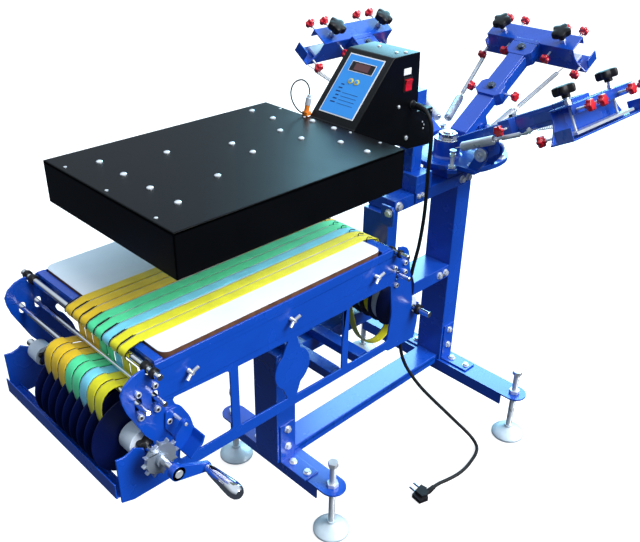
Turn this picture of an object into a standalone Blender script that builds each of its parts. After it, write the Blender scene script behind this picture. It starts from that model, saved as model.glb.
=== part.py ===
"""Ribbon screen-printing carousel: a floor frame, a pallet for narrow ribbons between two side plates, an
unwinder with a crank and a ratchet, a take-up spool, a flash dryer on a mast, and a turntable that carries
three tilting print heads. Lengths are in metres, +Z is up, +X runs from the unwinder to the turntable and
+Y to the far side. The numbers are in the machine's own frame, and SHIFT moves it over the origin."""
import math

import bmesh
import bpy
from mathutils import Matrix, Vector
from mathutils.geometry import tessellate_polygon

for old in list(bpy.data.objects):
    bpy.data.objects.remove(old, do_unlink=True)

SHIFT = Vector((-1.1695, 0.0126, 0.0))
GAP = 0.0003
SIDES = (-1, 1)

CHANNEL_W, CHANNEL_TOP = 0.064, 0.143
FRONT_X, FRONT_HALF = 0.955, 0.180       # front foot channel: its x, and half the distance between its feet
REAR_X, REAR_HALF = 1.560, 0.277
PLATE_Y, PLATE_T = 0.200, 0.004          # side plates: centre plane and thickness
INNER_Y = PLATE_Y - PLATE_T / 2 - GAP    # what fits between them
PLATE_TOP = 0.7205
PALLET_TOP = 0.730
UNWIND = (0.487, 0.565)                  # shafts and rollers, as (x, z)
TAKE_UP = (1.178, 0.545)
HANDLE = (0.5415, 0.544)
PAWL_PIN = (0.5385, 0.608)
FRONT_TOP, FRONT_INNER, FRONT_OUTER = (0.505, 0.715), (0.509, 0.660), (0.4775, 0.660)
REAR_TOP, REAR_LOW = (1.100, 0.712), (1.112, 0.655)
LANE, LANE_START = 0.0245, -0.1465       # ribbon pitch and the near edge of the first lane
FRONT_PINS, REAR_PINS = 0.5190, 1.0760   # the pins between the lanes on the two guide bars
PIN_LENGTH = 0.007
HUB = Vector((1.524, 0.0, 0.0))          # turntable axis
PIVOT_R, PIVOT_Z = 0.125, 0.803          # head pivots: distance from the hub and height
ARM_LIFT = 0.044                         # arm centre line above its pivot
HEADS = {"a": (90.0, 35.2), "b": (0.0, 33.3), "c": (-90.0, 28.4)}   # direction, upward tilt
SPRING_ENDS = {                           # upper ends, in each head's own frame
    "a": {"l": (0.2665, 0.150, -0.0160), "r": (0.2665, -0.150, -0.0160)},
    "b": {"l": (0.2665, 0.150, -0.0160), "r": (0.2665, -0.090, -0.0160)},
    "c": {"l": (0.2665, 0.150, -0.0160), "r": (0.1500, -0.042, 0.0200)},
}
DRYER_Z = (0.853, 0.935)
CORD_R = 0.0045

COLORS = {                               # base colour, roughness, metallic
    "blue": ((0.035, 0.13, 0.62), 0.35, 0.0),
    "black": ((0.02, 0.02, 0.022), 0.4, 0.0),
    "white": ((0.86, 0.88, 0.9), 0.45, 0.0),
    "chrome": ((0.75, 0.76, 0.78), 0.2, 1.0),
    "red": ((0.62, 0.02, 0.03), 0.35, 0.0),
    "gold": ((0.9, 0.62, 0.10), 0.6, 0.0),
    "green": ((0.25, 0.8, 0.42), 0.6, 0.0),
    "sky": ((0.35, 0.72, 0.88), 0.6, 0.0),
    "yellow": ((0.85, 0.78, 0.10), 0.6, 0.0),
    "panel": ((0.12, 0.45, 0.85), 0.4, 0.0),
    "navy": ((0.02, 0.04, 0.22), 0.4, 0.0),
}


# ---- Shapes: each is a list of vertices and a list of faces ----
def span(side, near, far):
    """The stretch from near to far on one side of the middle, low end first."""
    return tuple(sorted((side * near, side * far)))


def box(x0, x1, y0, y1, z0, z1):
    corners = [(x, y, z) for x in (x0, x1) for y in (y0, y1) for z in (z0, z1)]
    return corners, [(0, 1, 3, 2), (4, 6, 7, 5), (0, 4, 5, 1), (2, 3, 7, 6), (0, 2, 6, 4), (1, 5, 7, 3)]


def put(axis, a, b, along):
    """A point at (a, b) in the section across the axis."""
    return {"x": (along, a, b), "y": (a, along, b), "z": (a, b, along)}[axis]


def prism(outline, axis, low, high, holes=()):
    """An outline, less its holes, extruded along an axis."""
    loops = [outline, *holes]
    flat = [point for loop in loops for point in loop]
    count = len(flat)
    caps = tessellate_polygon([[Vector((a, b, 0)) for a, b in loop] for loop in loops])
    points = [put(axis, a, b, low) for a, b in flat] + [put(axis, a, b, high) for a, b in flat]
    faces = [tuple(cap) for cap in caps] + [tuple(i + count for i in reversed(cap)) for cap in caps]
    start = 0
    for loop in loops:
        size = len(loop)
        for i in range(size):
            a = start + i
            b = start + (i + 1) % size
            faces.append((a, b, b + count, a + count))
        start += size
    return points, faces


def arc(center, radius, steps, start, end):
    """Points on an arc, in degrees, both ends included."""
    points = []
    for i in range(steps + 1):
        angle = math.radians(start + (end - start) * i / steps)
        points.append((center[0] + radius * math.cos(angle), center[1] + radius * math.sin(angle)))
    return points


def ring(center, radius, count):
    return arc(center, radius, count, 0, 360)[:-1]


def turned(profile, axis, center, count=16):
    """(radius, position) pairs turned about an axis. The first and the last radius are 0."""
    points = [put(axis, *center, profile[0][1])]
    faces = []
    for radius, position in profile[1:-1]:
        points += [put(axis, a, b, position) for a, b in ring(center, radius, count)]
    points.append(put(axis, *center, profile[-1][1]))
    last = len(points) - 1
    for i in range(count):
        j = (i + 1) % count
        faces.append((0, 1 + i, 1 + j))
        faces.append((last, last - count + j, last - count + i))
        for k in range(len(profile) - 3):
            low = 1 + k * count
            faces.append((low + i, low + count + i, low + count + j, low + j))
    return points, faces


def rod(axis, center, radius, low, high, count=12):
    return turned([(0, low), (radius, low), (radius, high), (0, high)], axis, center, count)


def hex_head(center, axis, radius, low, high):
    return prism(ring(center, radius, 6), axis, low, high)


def moved(shape, matrix):
    return [tuple(matrix @ Vector(point)) for point in shape[0]], shape[1]


def bar(start, end, radius, count=8):
    """A round bar between two points."""
    way = Vector(end) - Vector(start)
    turn = way.to_track_quat("Z", "Y").to_matrix().to_4x4()
    return moved(rod("z", (0, 0), radius, 0.0, way.length, count), Matrix.Translation(Vector(start)) @ turn)


def star(center, axis, low, high, radius):
    """A knob head with five lobes."""
    outline = []
    for i in range(10):
        angle = math.radians(36 * i)
        reach = radius * (0.76 if i % 2 else 1.0)
        outline.append((center[0] + reach * math.cos(angle), center[1] + reach * math.sin(angle)))
    return prism(outline, axis, low, high)


# ---- Objects ----
def material(name, color):
    base, roughness, metallic = COLORS[color]
    made = bpy.data.materials.new(name)
    made.use_nodes = True
    shader = made.node_tree.nodes["Principled BSDF"]
    shader.inputs["Base Color"].default_value = (*base, 1)
    shader.inputs["Roughness"].default_value = roughness
    shader.inputs["Metallic"].default_value = metallic
    return made


def mesh_object(name, shape, origin):
    mesh = bpy.data.meshes.new(name)
    mesh.from_pydata([tuple(Vector(point) - origin) for point in shape[0]], [], shape[1])
    work = bmesh.new()
    work.from_mesh(mesh)
    bmesh.ops.remove_doubles(work, verts=work.verts, dist=1e-7)
    bmesh.ops.recalc_face_normals(work, faces=work.faces)
    if work.calc_volume(signed=True) < 0:
        bmesh.ops.reverse_faces(work, faces=work.faces)
    work.to_mesh(mesh)
    work.free()
    made = bpy.data.objects.new(name, mesh)
    bpy.context.scene.collection.objects.link(made)
    made.location = origin
    return made


def node(name, color, shapes, cuts=(), origin=(0, 0, 0)):
    """One solid: the union of the shapes less the cuts. origin is the pivot of a moving piece."""
    origin = Vector(origin)
    made = mesh_object(name, shapes[0], origin)
    steps = [("UNION", shape) for shape in shapes[1:]] + [("DIFFERENCE", shape) for shape in cuts]
    helpers = []
    for number, (operation, shape) in enumerate(steps):
        helper = mesh_object(f"{name}_helper{number}", shape, origin)
        modifier = made.modifiers.new(f"step{number}", "BOOLEAN")
        modifier.object = helper
        modifier.operation = operation
        helpers.append(helper)
    bpy.context.view_layer.update()
    solid = bpy.data.meshes.new_from_object(made.evaluated_get(bpy.context.evaluated_depsgraph_get()))
    made.modifiers.clear()
    for helper in helpers:
        bpy.data.objects.remove(helper, do_unlink=True)
    made.data = solid
    made.location = origin + SHIFT
    solid.materials.clear()
    solid.materials.append(material(name, color))
    return made


# ---- Frame ----
def foot_channel(name, x, half_span):
    """A channel across the machine with round ends, open underneath, with a hole for a foot at each end."""
    half = CHANNEL_W / 2
    plan = arc((x, half_span), half, 8, 0, 180) + arc((x, -half_span), half, 8, 180, 360)
    reach = half_span - 0.022
    shapes = [
        prism(plan, "z", CHANNEL_TOP - 0.0045, CHANNEL_TOP),
        box(x - half, x - half + 0.004, -reach, reach, 0.108, 0.1395),
        box(x + half - 0.004, x + half, -reach, reach, 0.108, 0.1395),
    ]
    node(name, "blue", shapes, [rod("z", (x, side * half_span), 0.0085, 0.10, 0.16) for side in SIDES])


def level_foot(name, x, y):
    """A pad on a threaded stud with a nut under the channel, one on it and a head at the top."""
    profile = [(0, 0.0), (0.044, 0.0), (0.044, 0.008), (0.030, 0.018), (0.008, 0.026), (0.008, 0.122)]
    profile += [(0.014, 0.122), (0.014, 0.1380), (0.0078, 0.1380), (0.0078, 0.1435), (0.015, 0.1435)]
    profile += [(0.015, 0.153), (0.008, 0.153), (0.008, 0.206), (0.013, 0.206), (0.013, 0.216), (0, 0.216)]
    node(name, "chrome", [turned(profile, "z", (x, y), 10)], origin=(x, y, 0.0))


def corner_bracket(x0, x1, face_y, side):
    """An L bracket from a post's side face to the channel, with two bolts through each leg."""
    middle = (x0 + x1) / 2
    base = CHANNEL_TOP + GAP
    shapes = [
        box(x0, x1, *span(side, face_y - 0.001, face_y + 0.004), base, 0.255),
        box(x0, x1, *span(side, face_y - 0.001, face_y + 0.088), base, 0.148),
    ]
    for z in (0.186, 0.237):
        shapes.append(hex_head((middle, z), "y", 0.0075, *span(side, face_y + 0.003, face_y + 0.011)))
    for offset in (0.024, 0.072):
        shapes.append(hex_head((middle, side * (face_y + offset)), "z", 0.0075, 0.147, 0.155))
    return shapes


def lower_frame():
    """The two outer posts, tubes, and the base beam between them, welded, with their corner brackets."""
    base = CHANNEL_TOP + GAP
    shapes = [
        box(0.909, 0.968, -0.040, 0.040, base, 0.4197),
        box(0.967, 1.532, -0.0325, 0.0325, base, 0.157),
        box(0.9875, 1.5275, -0.0325, 0.0325, 0.129, 0.150),
        box(1.531, 1.589, -0.0415, 0.0415, base, 0.6837),
    ]
    for side in SIDES:
        shapes += corner_bracket(0.916, 0.961, 0.040, side)
        shapes += corner_bracket(1.538, 1.582, 0.0415, side)
    bores = [
        box(0.913, 0.964, -0.036, 0.036, 0.130, 0.430),
        box(1.535, 1.585, -0.0375, 0.0375, 0.130, 0.690),
        box(0.992, 1.523, -0.0285, 0.0285, 0.120, 0.153),
    ]
    node("lower_frame", "blue", shapes, bores)


def mid_beam():
    """The beam on the front post, with the two cross arms that carry the side plates."""
    shapes = [box(0.909, 1.5307, -0.0415, 0.0415, 0.420, 0.457)]
    for x in (0.935, 1.020):
        shapes.append(box(x, x + 0.030, -0.180, 0.180, 0.4560, 0.4785))
        shapes.append(box(x + 0.001, x + 0.029, -INNER_Y, INNER_Y, 0.4740, 0.4780))
    for x in (0.925, 0.950, 1.490, 1.515):
        shapes.append(hex_head((x, 0.4385), "y", 0.008, -0.049, -0.041))
    node("mid_beam", "blue", shapes, [box(0.913, 1.540, -0.0375, 0.0375, 0.424, 0.453)])


def upper_frame():
    """The middle post with its bolted ear, and the beam that carries the dryer and the turntable."""
    ear = [(-0.052, 0.662), (-0.060, 0.672), (-0.060, 0.700), (-0.052, 0.710), (-0.020, 0.710), (-0.020, 0.662)]
    post = [
        box(1.265, 1.300, -0.040, 0.040, 0.4573, 0.6837),
        prism(ear, "x", 1.258, 1.2660),
        hex_head((-0.045, 0.696), "x", 0.008, 1.250, 1.2590),
    ]
    node("post_middle", "blue", post, [box(1.269, 1.296, -0.036, 0.036, 0.450, 0.690)])
    beam = [box(1.283, 1.590, -0.0415, 0.0415, 0.684, 0.7165)]
    for x, radius in ((1.297, 0.009), (1.545, 0.008), (1.572, 0.008)):
        beam.append(hex_head((x, 0.700), "y", radius, -0.0495, -0.041))
    node("upper_beam", "blue", beam, [box(1.287, 1.600, -0.0375, 0.0375, 0.688, 0.7125)])


# ---- Side plates, pallet and bars ----
def plate_outline():
    """Clockwise from the front roller block, with open notches for the shafts that lift out."""
    nose = [(0.4545, 0.655), (0.449, 0.676), (0.448, 0.692), (0.456, 0.706), (0.472, 0.717), (0.485, PLATE_TOP)]
    notches = []
    for (x, z), radius in ((FRONT_TOP, 0.0095), (REAR_TOP, 0.0085)):
        notches += [(x - radius, PLATE_TOP), *arc((x, z), radius, 6, 180, 360), (x + radius, PLATE_TOP)]
    back = [(1.114, 0.718), (1.126, 0.7155), (1.137, 0.709), (1.144, 0.698), (1.150, 0.662), (1.158, 0.628)]
    back += [(1.164, 0.592), (TAKE_UP[0] - 0.0095, 0.572), *arc(TAKE_UP, 0.0095, 6, 180, 360)]
    back += [(TAKE_UP[0] + 0.0095, 0.556), (1.194, 0.552), (1.192, 0.500), (1.185, 0.462)]
    bottom = [(1.097, 0.466), (1.088, 0.472), (0.448, 0.4745), (0.425, 0.482), (0.425, 0.575), (0.440, 0.573)]
    bottom += [(0.452, 0.576), (0.459, 0.581), (UNWIND[0] - 0.0095, UNWIND[1] + 0.004)]
    bottom += [*arc(UNWIND, 0.0095, 6, 190, 370)[1:-1], (UNWIND[0] + 0.0095, UNWIND[1] + 0.008), (0.483, 0.592)]
    return nose + notches + back + bottom


def roller_slot(x, low, high, radius=0.0068):
    return arc((x, high), radius, 4, 0, 180) + arc((x, low), radius, 4, 180, 360)


def plate_windows():
    """Four large cut-outs. The first goes round a lobe, and the middle two leave a web with a round boss in it."""
    boss = (0.811, 0.563)
    lobe = [(0.540, 0.640), (0.545, 0.624), (0.555, 0.616), (0.571, 0.586), (0.578, 0.558), (0.567, 0.539), (0.547, 0.528)]
    return [
        [(0.5435, 0.500), (0.661, 0.500), (0.661, 0.635), *lobe],
        [(0.680, 0.500), (0.797, 0.497), *arc(boss, 0.045, 7, 236, 124), (0.7995, 0.6312), (0.680, 0.634)],
        [(0.822, 0.495), (0.948, 0.493), (0.9482, 0.6323), (0.8235, 0.6301), *arc(boss, 0.045, 7, 62, -62)],
        [(0.966, 0.493), (1.090, 0.493), (1.100, 0.560), (1.090, 0.637), (0.966, 0.636)],
        roller_slot(FRONT_INNER[0], 0.655, 0.665),
        roller_slot(FRONT_OUTER[0], 0.655, 0.665),
        roller_slot(REAR_LOW[0], 0.650, 0.660),
    ]


def side_plate(name, side):
    """A side plate with its bolt heads and the three wing bolts that hold the pallet."""
    inner = PLATE_Y - PLATE_T / 2
    outer = PLATE_Y + PLATE_T / 2
    shapes = [prism(plate_outline(), "y", *span(side, inner, outer), plate_windows())]
    bolts = [(FRONT_INNER[0], 0.684), (FRONT_INNER[0], 0.636), (FRONT_OUTER[0], 0.682), (FRONT_OUTER[0], 0.636)]
    bolts += [(0.528, 0.600), (1.098, 0.676), (1.106, 0.632), (1.131, 0.677), (1.132, 0.655)]
    for center in bolts:
        shapes.append(hex_head(center, "y", 0.0052, *span(side, outer - 0.0005, outer + 0.007)))
    for x in (0.575, 0.805, 1.038):
        wing = [(x - 0.014, 0.686), (x - 0.010, 0.691), (x + 0.014, 0.674), (x + 0.010, 0.669)]
        shapes.append(rod("y", (x, 0.680), 0.0045, *span(side, outer - 0.0005, outer + 0.014), 8))
        shapes.append(prism(wing, "y", *span(side, outer + 0.008, outer + 0.013)))
    node(name, "blue", shapes)


def rounded_rectangle(x0, x1, y0, y1, radius, steps=4):
    corners = ((x1, y1, 0), (x0, y1, 90), (x0, y0, 180), (x1, y0, 270))
    outline = []
    for x, y, turn in corners:
        center = (min(max(x, x0 + radius), x1 - radius), min(max(y, y0 + radius), y1 - radius))
        outline += arc(center, radius, steps, turn, turn + 90)
    return outline


def guide_bar(name, x0, x1, lip, pins_x):
    """An angle across the end of the pallet, with pins between the ribbon lanes."""
    shapes = [box(x0, x1, -INNER_Y, INNER_Y, 0.7165, 0.7240), box(*lip, -INNER_Y, INNER_Y, 0.690, 0.7200)]
    for lane in range(9):
        y = LANE_START + LANE * lane
        shapes.append(box(pins_x, pins_x + PIN_LENGTH, y - 0.0012, y + 0.0012, 0.7230, 0.738))
    node(name, "blue", shapes)


def bed():
    node("pallet", "white", [
        prism(rounded_rectangle(0.533, 1.060, -INNER_Y, INNER_Y, 0.018), "z", 0.712, PALLET_TOP),
    ])
    guide_bar("guide_bar_front", 0.5160, 0.5322, (0.5280, 0.5322), FRONT_PINS)
    guide_bar("guide_bar_rear", 1.0608, 1.0890, (1.0608, 1.0650), REAR_PINS)
    node("tray_bar", "blue", [
        box(0.4180, 0.4205, -INNER_Y, INNER_Y, 0.4920, 0.5230),
        box(0.4180, 0.4440, -INNER_Y, INNER_Y, 0.4920, 0.4945),
        box(0.4415, 0.4440, -INNER_Y, INNER_Y, 0.4920, 0.5000),
    ])


# ---- Rollers, unwinder and take-up ----
def roller(name, center, radius, reach, collar):
    profile = [(0, -reach), (radius, -reach), (radius, -0.2165), (collar, -0.2165), (collar, -0.2095)]
    profile += [(radius, -0.2095), (radius, 0.2095), (collar, 0.2095), (collar, 0.2165), (radius, 0.2165)]
    profile += [(radius, reach), (0, reach)]
    node(name, "chrome", [turned(profile, "y", center, 10)], origin=(center[0], 0, center[1]))


def discs(count, radius, core):
    """Profile points of the thin discs between the ribbon reels."""
    points = []
    for number in range(count):
        y = LANE_START + LANE * number
        points += [(core, y - 0.00125), (radius, y - 0.00125), (radius, y + 0.00125), (core, y + 0.00125)]
    return points


def unwinder():
    """The spool of discs, its ratchet wheel and pawl, and the crank with its handle."""
    shaft = (UNWIND[0], 0, UNWIND[1])
    profile = [(0, -0.272), (0.0075, -0.272), (0.0075, -0.192), (0.0275, -0.192), (0.0275, -0.168), (0.013, -0.160)]
    profile += discs(9, 0.075, 0.016)
    profile += [(0.013, 0.150), (0.021, 0.156), (0.021, 0.190), (0.0075, 0.190), (0.0075, 0.222), (0, 0.222)]
    node("unwind_spool", "navy", [turned(profile, "y", UNWIND, 12)], origin=shaft)
    teeth = []
    for number in range(12):
        teeth += arc(UNWIND, 0.0350, 1, 30 * number, 30 * number)[:1]
        teeth += arc(UNWIND, 0.0275, 1, 30 * number + 4, 30 * number + 4)[:1]
    wheel = prism(teeth, "y", -0.2380, -0.2300, [ring(UNWIND, 0.0079, 14)])
    node("ratchet_wheel", "blue", [wheel], origin=shaft)
    crank(shaft)
    bracket = [(0.519, 0.588), (0.522, 0.622), (0.546, 0.622), (0.577, 0.559), (0.571, 0.544), (0.545, 0.524)]
    bracket += [(0.532, 0.540), (0.536, 0.560)]
    shelf = [(0.545, 0.524), (0.571, 0.544), (0.577, 0.559), (0.5735, 0.5605), (0.568, 0.547), (0.543, 0.5275)]
    node("ratchet_bracket", "blue", [
        prism(bracket, "y", -0.2060, -0.2024, [ring((0.528, 0.600), 0.0058, 8)]),
        prism(shelf, "y", -0.2360, -0.2050),
        rod("y", PAWL_PIN, 0.0030, -0.2400, -0.2050, 8),
    ])
    pawl = arc(PAWL_PIN, 0.0075, 6, -40, 170) + [(0.5195, 0.5985), (0.5165, 0.5925), (0.5160, 0.5890), (0.5215, 0.5930)]
    node("pawl", "blue", [prism(pawl, "y", -0.2385, -0.2295, [ring(PAWL_PIN, 0.0034, 8)])],
         origin=(PAWL_PIN[0], 0, PAWL_PIN[1]))


def crank(shaft):
    lean = math.degrees(math.atan2(HANDLE[1] - UNWIND[1], HANDLE[0] - UNWIND[0]))
    arm = arc(UNWIND, 0.014, 6, lean + 90, lean + 270) + arc(HANDLE, 0.009, 6, lean - 90, lean + 90)
    node("crank_arm", "blue", [prism(arm, "y", -0.2860, -0.2780), rod("y", UNWIND, 0.0135, -0.2870, -0.2723, 10)],
         origin=shaft)
    grip = [(0, -0.2863), (0.006, -0.2863), (0.006, -0.2920), (0.0085, -0.2980), (0.0110, -0.3250)]
    grip += [(0.0135, -0.3500), (0.0125, -0.3640), (0.0070, -0.3710), (0, -0.3720)]
    node("crank_handle", "chrome", [turned(grip, "y", HANDLE, 10)], origin=(HANDLE[0], -0.33, HANDLE[1]))


def take_up():
    profile = [(0, -0.2450), (0.0070, -0.2450), (0.0070, -0.2180), (0.0120, -0.2180), (0.0120, -0.2090)]
    profile += [(0.0070, -0.2090), (0.0070, -0.192), (0.022, -0.192), (0.022, -0.170), (0.013, -0.162)]
    profile += discs(9, 0.066, 0.016)
    profile += [(0.013, 0.060), (0.013, 0.150), (0.030, 0.155), (0.030, 0.190), (0.0070, 0.190)]
    profile += [(0.0070, 0.222), (0, 0.222)]
    node("takeup_spool", "navy", [turned(profile, "y", TAKE_UP, 12)], origin=(TAKE_UP[0], 0, TAKE_UP[1]))


# ---- Ribbons: each spans the lanes of one colour, from the unwinder over the pallet to the take-up ----
def band(path, thickness, y0, y1):
    """A strip that follows (x, z) points, half its thickness to each side."""
    upper, lower = [], []
    for i, point in enumerate(path):
        way = Vector(path[min(i + 1, len(path) - 1)]) - Vector(path[max(i - 1, 0)])
        offset = Vector((-way.y, way.x)).normalized() * (thickness / 2)
        upper.append((point[0] + offset.x, point[1] + offset.y))
        lower.append((point[0] - offset.x, point[1] - offset.y))
    return prism(upper + lower[::-1], "y", y0, y1)


def ribbons():
    path = [(UNWIND[0] - 0.0440, UNWIND[1] + 0.020), (0.4520, 0.6250), *arc(FRONT_OUTER, 0.0082, 3, 170, 30)]
    path += [*arc(FRONT_INNER, 0.0082, 4, 215, 380), (0.5140, 0.6850), (0.4980, 0.7040)]
    path += [*arc(FRONT_TOP, 0.0102, 3, 180, 96), (0.5200, 0.7290), (0.5310, 0.7312), (1.0620, 0.7312)]
    path += [(1.0880, 0.7260), *arc(REAR_TOP, 0.0094, 3, 88, 10), (1.1210, 0.6700), (1.1290, 0.6150)]
    for color, first, end in (("yellow", 0, 2), ("sky", 2, 3), ("green", 3, 5), ("gold", 5, 8)):
        near = LANE_START + LANE * first + 0.0023
        far = LANE_START + LANE * end - 0.0023
        disc_gaps = []
        pin_gaps = []
        for lane in range(first + 1, end):
            y = LANE_START + LANE * lane
            disc_gaps.append(box(0.430, 0.460, y - 0.002, y + 0.002, 0.570, 0.650))
            for x in (FRONT_PINS, REAR_PINS):
                pin_gaps.append(box(x - 0.001, x + PIN_LENGTH + 0.001, y - 0.002, y + 0.002, 0.700, 0.750))
        node(f"ribbon_{color}", color, [band(path, 0.0009, near, far)], disc_gaps + pin_gaps)


# ---- Flash dryer ----
def dryer_head():
    """The heater housing, open underneath, and the control box behind it with its panel and switch."""
    low, high = DRYER_Z
    housing = [box(0.568, 1.103, -0.2035, 0.2035, low, high)]
    for x, y in ((0.60, -0.16), (0.60, 0.16), (0.76, 0.0), (0.92, 0.0), (1.06, -0.16), (1.06, 0.16)):
        housing.append(hex_head((x, y), "z", 0.006, high - 0.001, high + 0.004))
    node("dryer_housing", "black", housing, [box(0.572, 1.099, -0.1995, 0.1995, 0.840, 0.9290)])
    slope_low, slope_high = Vector((1.112, 0.941)), Vector((1.219, 1.061))
    section = [(1.1033, 0.9353), (1.108, 0.9353), tuple(slope_low), tuple(slope_high), (1.224, 1.063)]
    section += [(1.305, 1.063), (1.310, 0.932), (1.3646, 0.932), (1.3646, 0.845), (1.283, 0.852)]
    section += [(1.250, 0.870), (1.1033, 0.870)]
    inside = [(1.1070, 0.8300), (1.1070, 0.9320), (1.2200, 1.0590), (1.3020, 1.0590), (1.3065, 0.9285)]
    inside += [(1.3610, 0.9285), (1.3610, 0.8300)]
    switch_hole = box(1.2570, 1.2810, -0.0660, -0.0600, 0.9860, 1.0140)
    node("control_box", "black", [prism(section, "y", -0.065, 0.065), rod("y", (1.289, 0.952), 0.009, -0.078, -0.064)],
         [prism(inside, "y", -0.062, 0.062), switch_hole])
    along = (slope_high - slope_low).normalized()
    out = Vector((-along.y, along.x))
    panel = []
    for distance, height in ((0.012, GAP), (0.150, GAP), (0.150, 0.0018), (0.012, 0.0018)):
        panel.append(tuple(slope_low + along * distance + out * height))
    node("control_panel", "panel", [prism(panel, "y", -0.0475, 0.0475)])
    rocker = [(0.0010, -0.0120), (-0.0065, -0.0120), (-0.0040, 0.0), (-0.0065, 0.0120), (0.0010, 0.0120)]
    pivot = Vector((1.269, -0.0640, 1.000))
    pressed = Matrix.Translation(pivot) @ Matrix.Rotation(math.radians(6), 4, "X")
    node("rocker_switch", "red", [moved(prism(rocker, "x", -0.0105, 0.0105), pressed)], origin=pivot)


def dryer_mast():
    """A square tube in a saddle that straddles the upper beam and is bolted to its sides."""
    shapes = [box(1.365, 1.401, -0.018, 0.018, 0.760, 0.955), box(1.352, 1.412, -0.0455, 0.0455, 0.7168, 0.7605)]
    for side in SIDES:
        shapes.append(box(1.355, 1.387, *span(side, 0.0420, 0.0455), 0.690, 0.7400))
        for x in (1.364, 1.378):
            shapes.append(hex_head((x, 0.708), "y", 0.0050, *span(side, 0.0445, 0.0510)))
    bore = box(1.369, 1.397, -0.014, 0.014, 0.7645, 0.970)
    node("dryer_mast", "blue", shapes, [bore, rod("y", (1.383, 0.868), 0.011, -0.030, 0.030)])


# ---- Turntable and print heads ----
def about_hub(direction):
    return Matrix.Translation(HUB) @ Matrix.Rotation(math.radians(direction), 4, "Z")


def base_and_hub():
    edge = [(1.450, 0.0), (1.518, -0.091), (1.545, -0.104), (1.600, -0.110), (1.645, -0.103), (1.675, -0.087)]
    edge += [(1.700, -0.055), (1.710, 0.0)]
    edge += [(x, -y) for x, y in edge[-2:0:-1]]
    node("base_plate", "blue", [prism(edge, "z", 0.738, 0.7500), box(1.484, 1.588, -0.040, 0.040, 0.7168, 0.7390)])
    pin = [(0, 0.7503), (0.020, 0.7503), (0.020, 0.8030), (0.034, 0.8030), (0.034, 0.8065), (0, 0.8065)]
    node("hub_bolt", "chrome", [turned(pin, "z", (HUB.x, 0), 12), hex_head((HUB.x, 0), "z", 0.0245, 0.8060, 0.8230)])


def turntable():
    """A disc and a hub sleeve, a pair of ears for each head, and four posts for the springs."""
    low, high = 0.7506, 0.7620
    sleeve = [(0, low), (0.082, low), (0.082, high), (0.034, high), (0.034, 0.8020), (0, 0.8020)]
    shapes = [turned(sleeve, "z", (HUB.x, 0), 16)]
    cuts = [rod("z", (HUB.x, 0), 0.0212, 0.740, 0.812)]
    ear = [(0.088, 0.755), (0.115, 0.755), (0.1415, 0.792), *arc((PIVOT_R, PIVOT_Z), 0.0165, 4, 10, 170)]
    ear += [(0.106, 0.792)]
    for direction, _ in HEADS.values():
        place = about_hub(direction)
        shapes.append(moved(box(0.03, 0.117, -0.043, 0.043, low, high), place))
        for side in SIDES:
            shapes.append(moved(prism(ear, "y", *span(side, 0.0285, 0.0345)), place))
        cuts.append(moved(rod("y", (PIVOT_R, PIVOT_Z), 0.0066, -0.06, 0.06, 8), place))
    for direction in (45, -45, 135, -135):
        place = about_hub(direction)
        shapes.append(moved(rod("z", (0.096, 0), 0.0055, 0.755, 0.8080, 6), place))
        shapes.append(moved(box(0.05, 0.108, -0.012, 0.012, low, high), place))
    node("turntable", "blue", shapes, cuts, origin=(HUB.x, 0, 0.75))


def head_frame(head):
    """Origin at the pivot, x along the raised arm, y to its left."""
    direction, tilt = HEADS[head]
    tilted = Matrix.Rotation(-math.radians(tilt), 4, "Y")
    return about_hub(direction) @ Matrix.Translation((PIVOT_R, 0, PIVOT_Z)) @ tilted


def on_arm(shape):
    """Moves a shape drawn from the arm's centre line, with x from the hub's axis, to the pivot's frame."""
    return moved(shape, Matrix.Translation((-0.121, 0, ARM_LIFT)))


def head_arm(head):
    """The tube with its pivot block and pin, the neck channel under it, and the two plates bolted across."""
    block = [(-0.016, 0.034), (-0.014, -0.004), (-0.008, -0.013), (0.008, -0.013), (0.014, -0.004), (0.020, 0.034)]
    half_plate = [(0.184, 0.026), (0.194, 0.037), (0.222, 0.037), (0.232, 0.026)]
    low_plate = [(x, -y) for x, y in half_plate] + half_plate[::-1]
    top_plate = [(0.330, -0.024), (0.342, -0.037), (0.3730, -0.037), (0.3730, 0.037), (0.342, 0.037), (0.330, 0.024)]
    shapes = [
        on_arm(box(0.056, 0.3735, -0.025, 0.025, -0.0125, 0.0125)),
        prism(block, "y", -0.0240, 0.0240),
        rod("y", (0, 0), 0.0060, -0.0390, 0.0390, 8),
        rod("y", (0, 0), 0.0110, -0.0400, -0.0350, 8),
        rod("y", (0, 0), 0.0110, 0.0350, 0.0400, 8),
        on_arm(box(0.198, 0.3720, -0.0225, 0.0225, -0.0230, 0.0185)),
        on_arm(prism(low_plate, "z", -0.0200, 0.0180)),
        on_arm(prism(top_plate, "z", -0.0200, 0.0200)),
        on_arm(hex_head((0.212, 0), "z", 0.0095, 0.017, 0.0250)),
        on_arm(hex_head((0.355, 0), "z", 0.0095, 0.019, 0.0270)),
    ]
    for side in SIDES:
        shapes.append(on_arm(rod("y", (0.212, -0.001), 0.0030, *span(side, 0.030, 0.066), 6)))
        shapes.append(on_arm(star((0.212, -0.001), "y", *span(side, 0.060, 0.074), 0.0125)))
    place = head_frame(head)
    bore = moved(on_arm(box(0.060, 0.380, -0.0215, 0.0215, -0.0090, 0.0090)), place)
    node(f"head_arm_{head}", "blue", [moved(shape, place) for shape in shapes], [bore], origin=place.translation)


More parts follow.
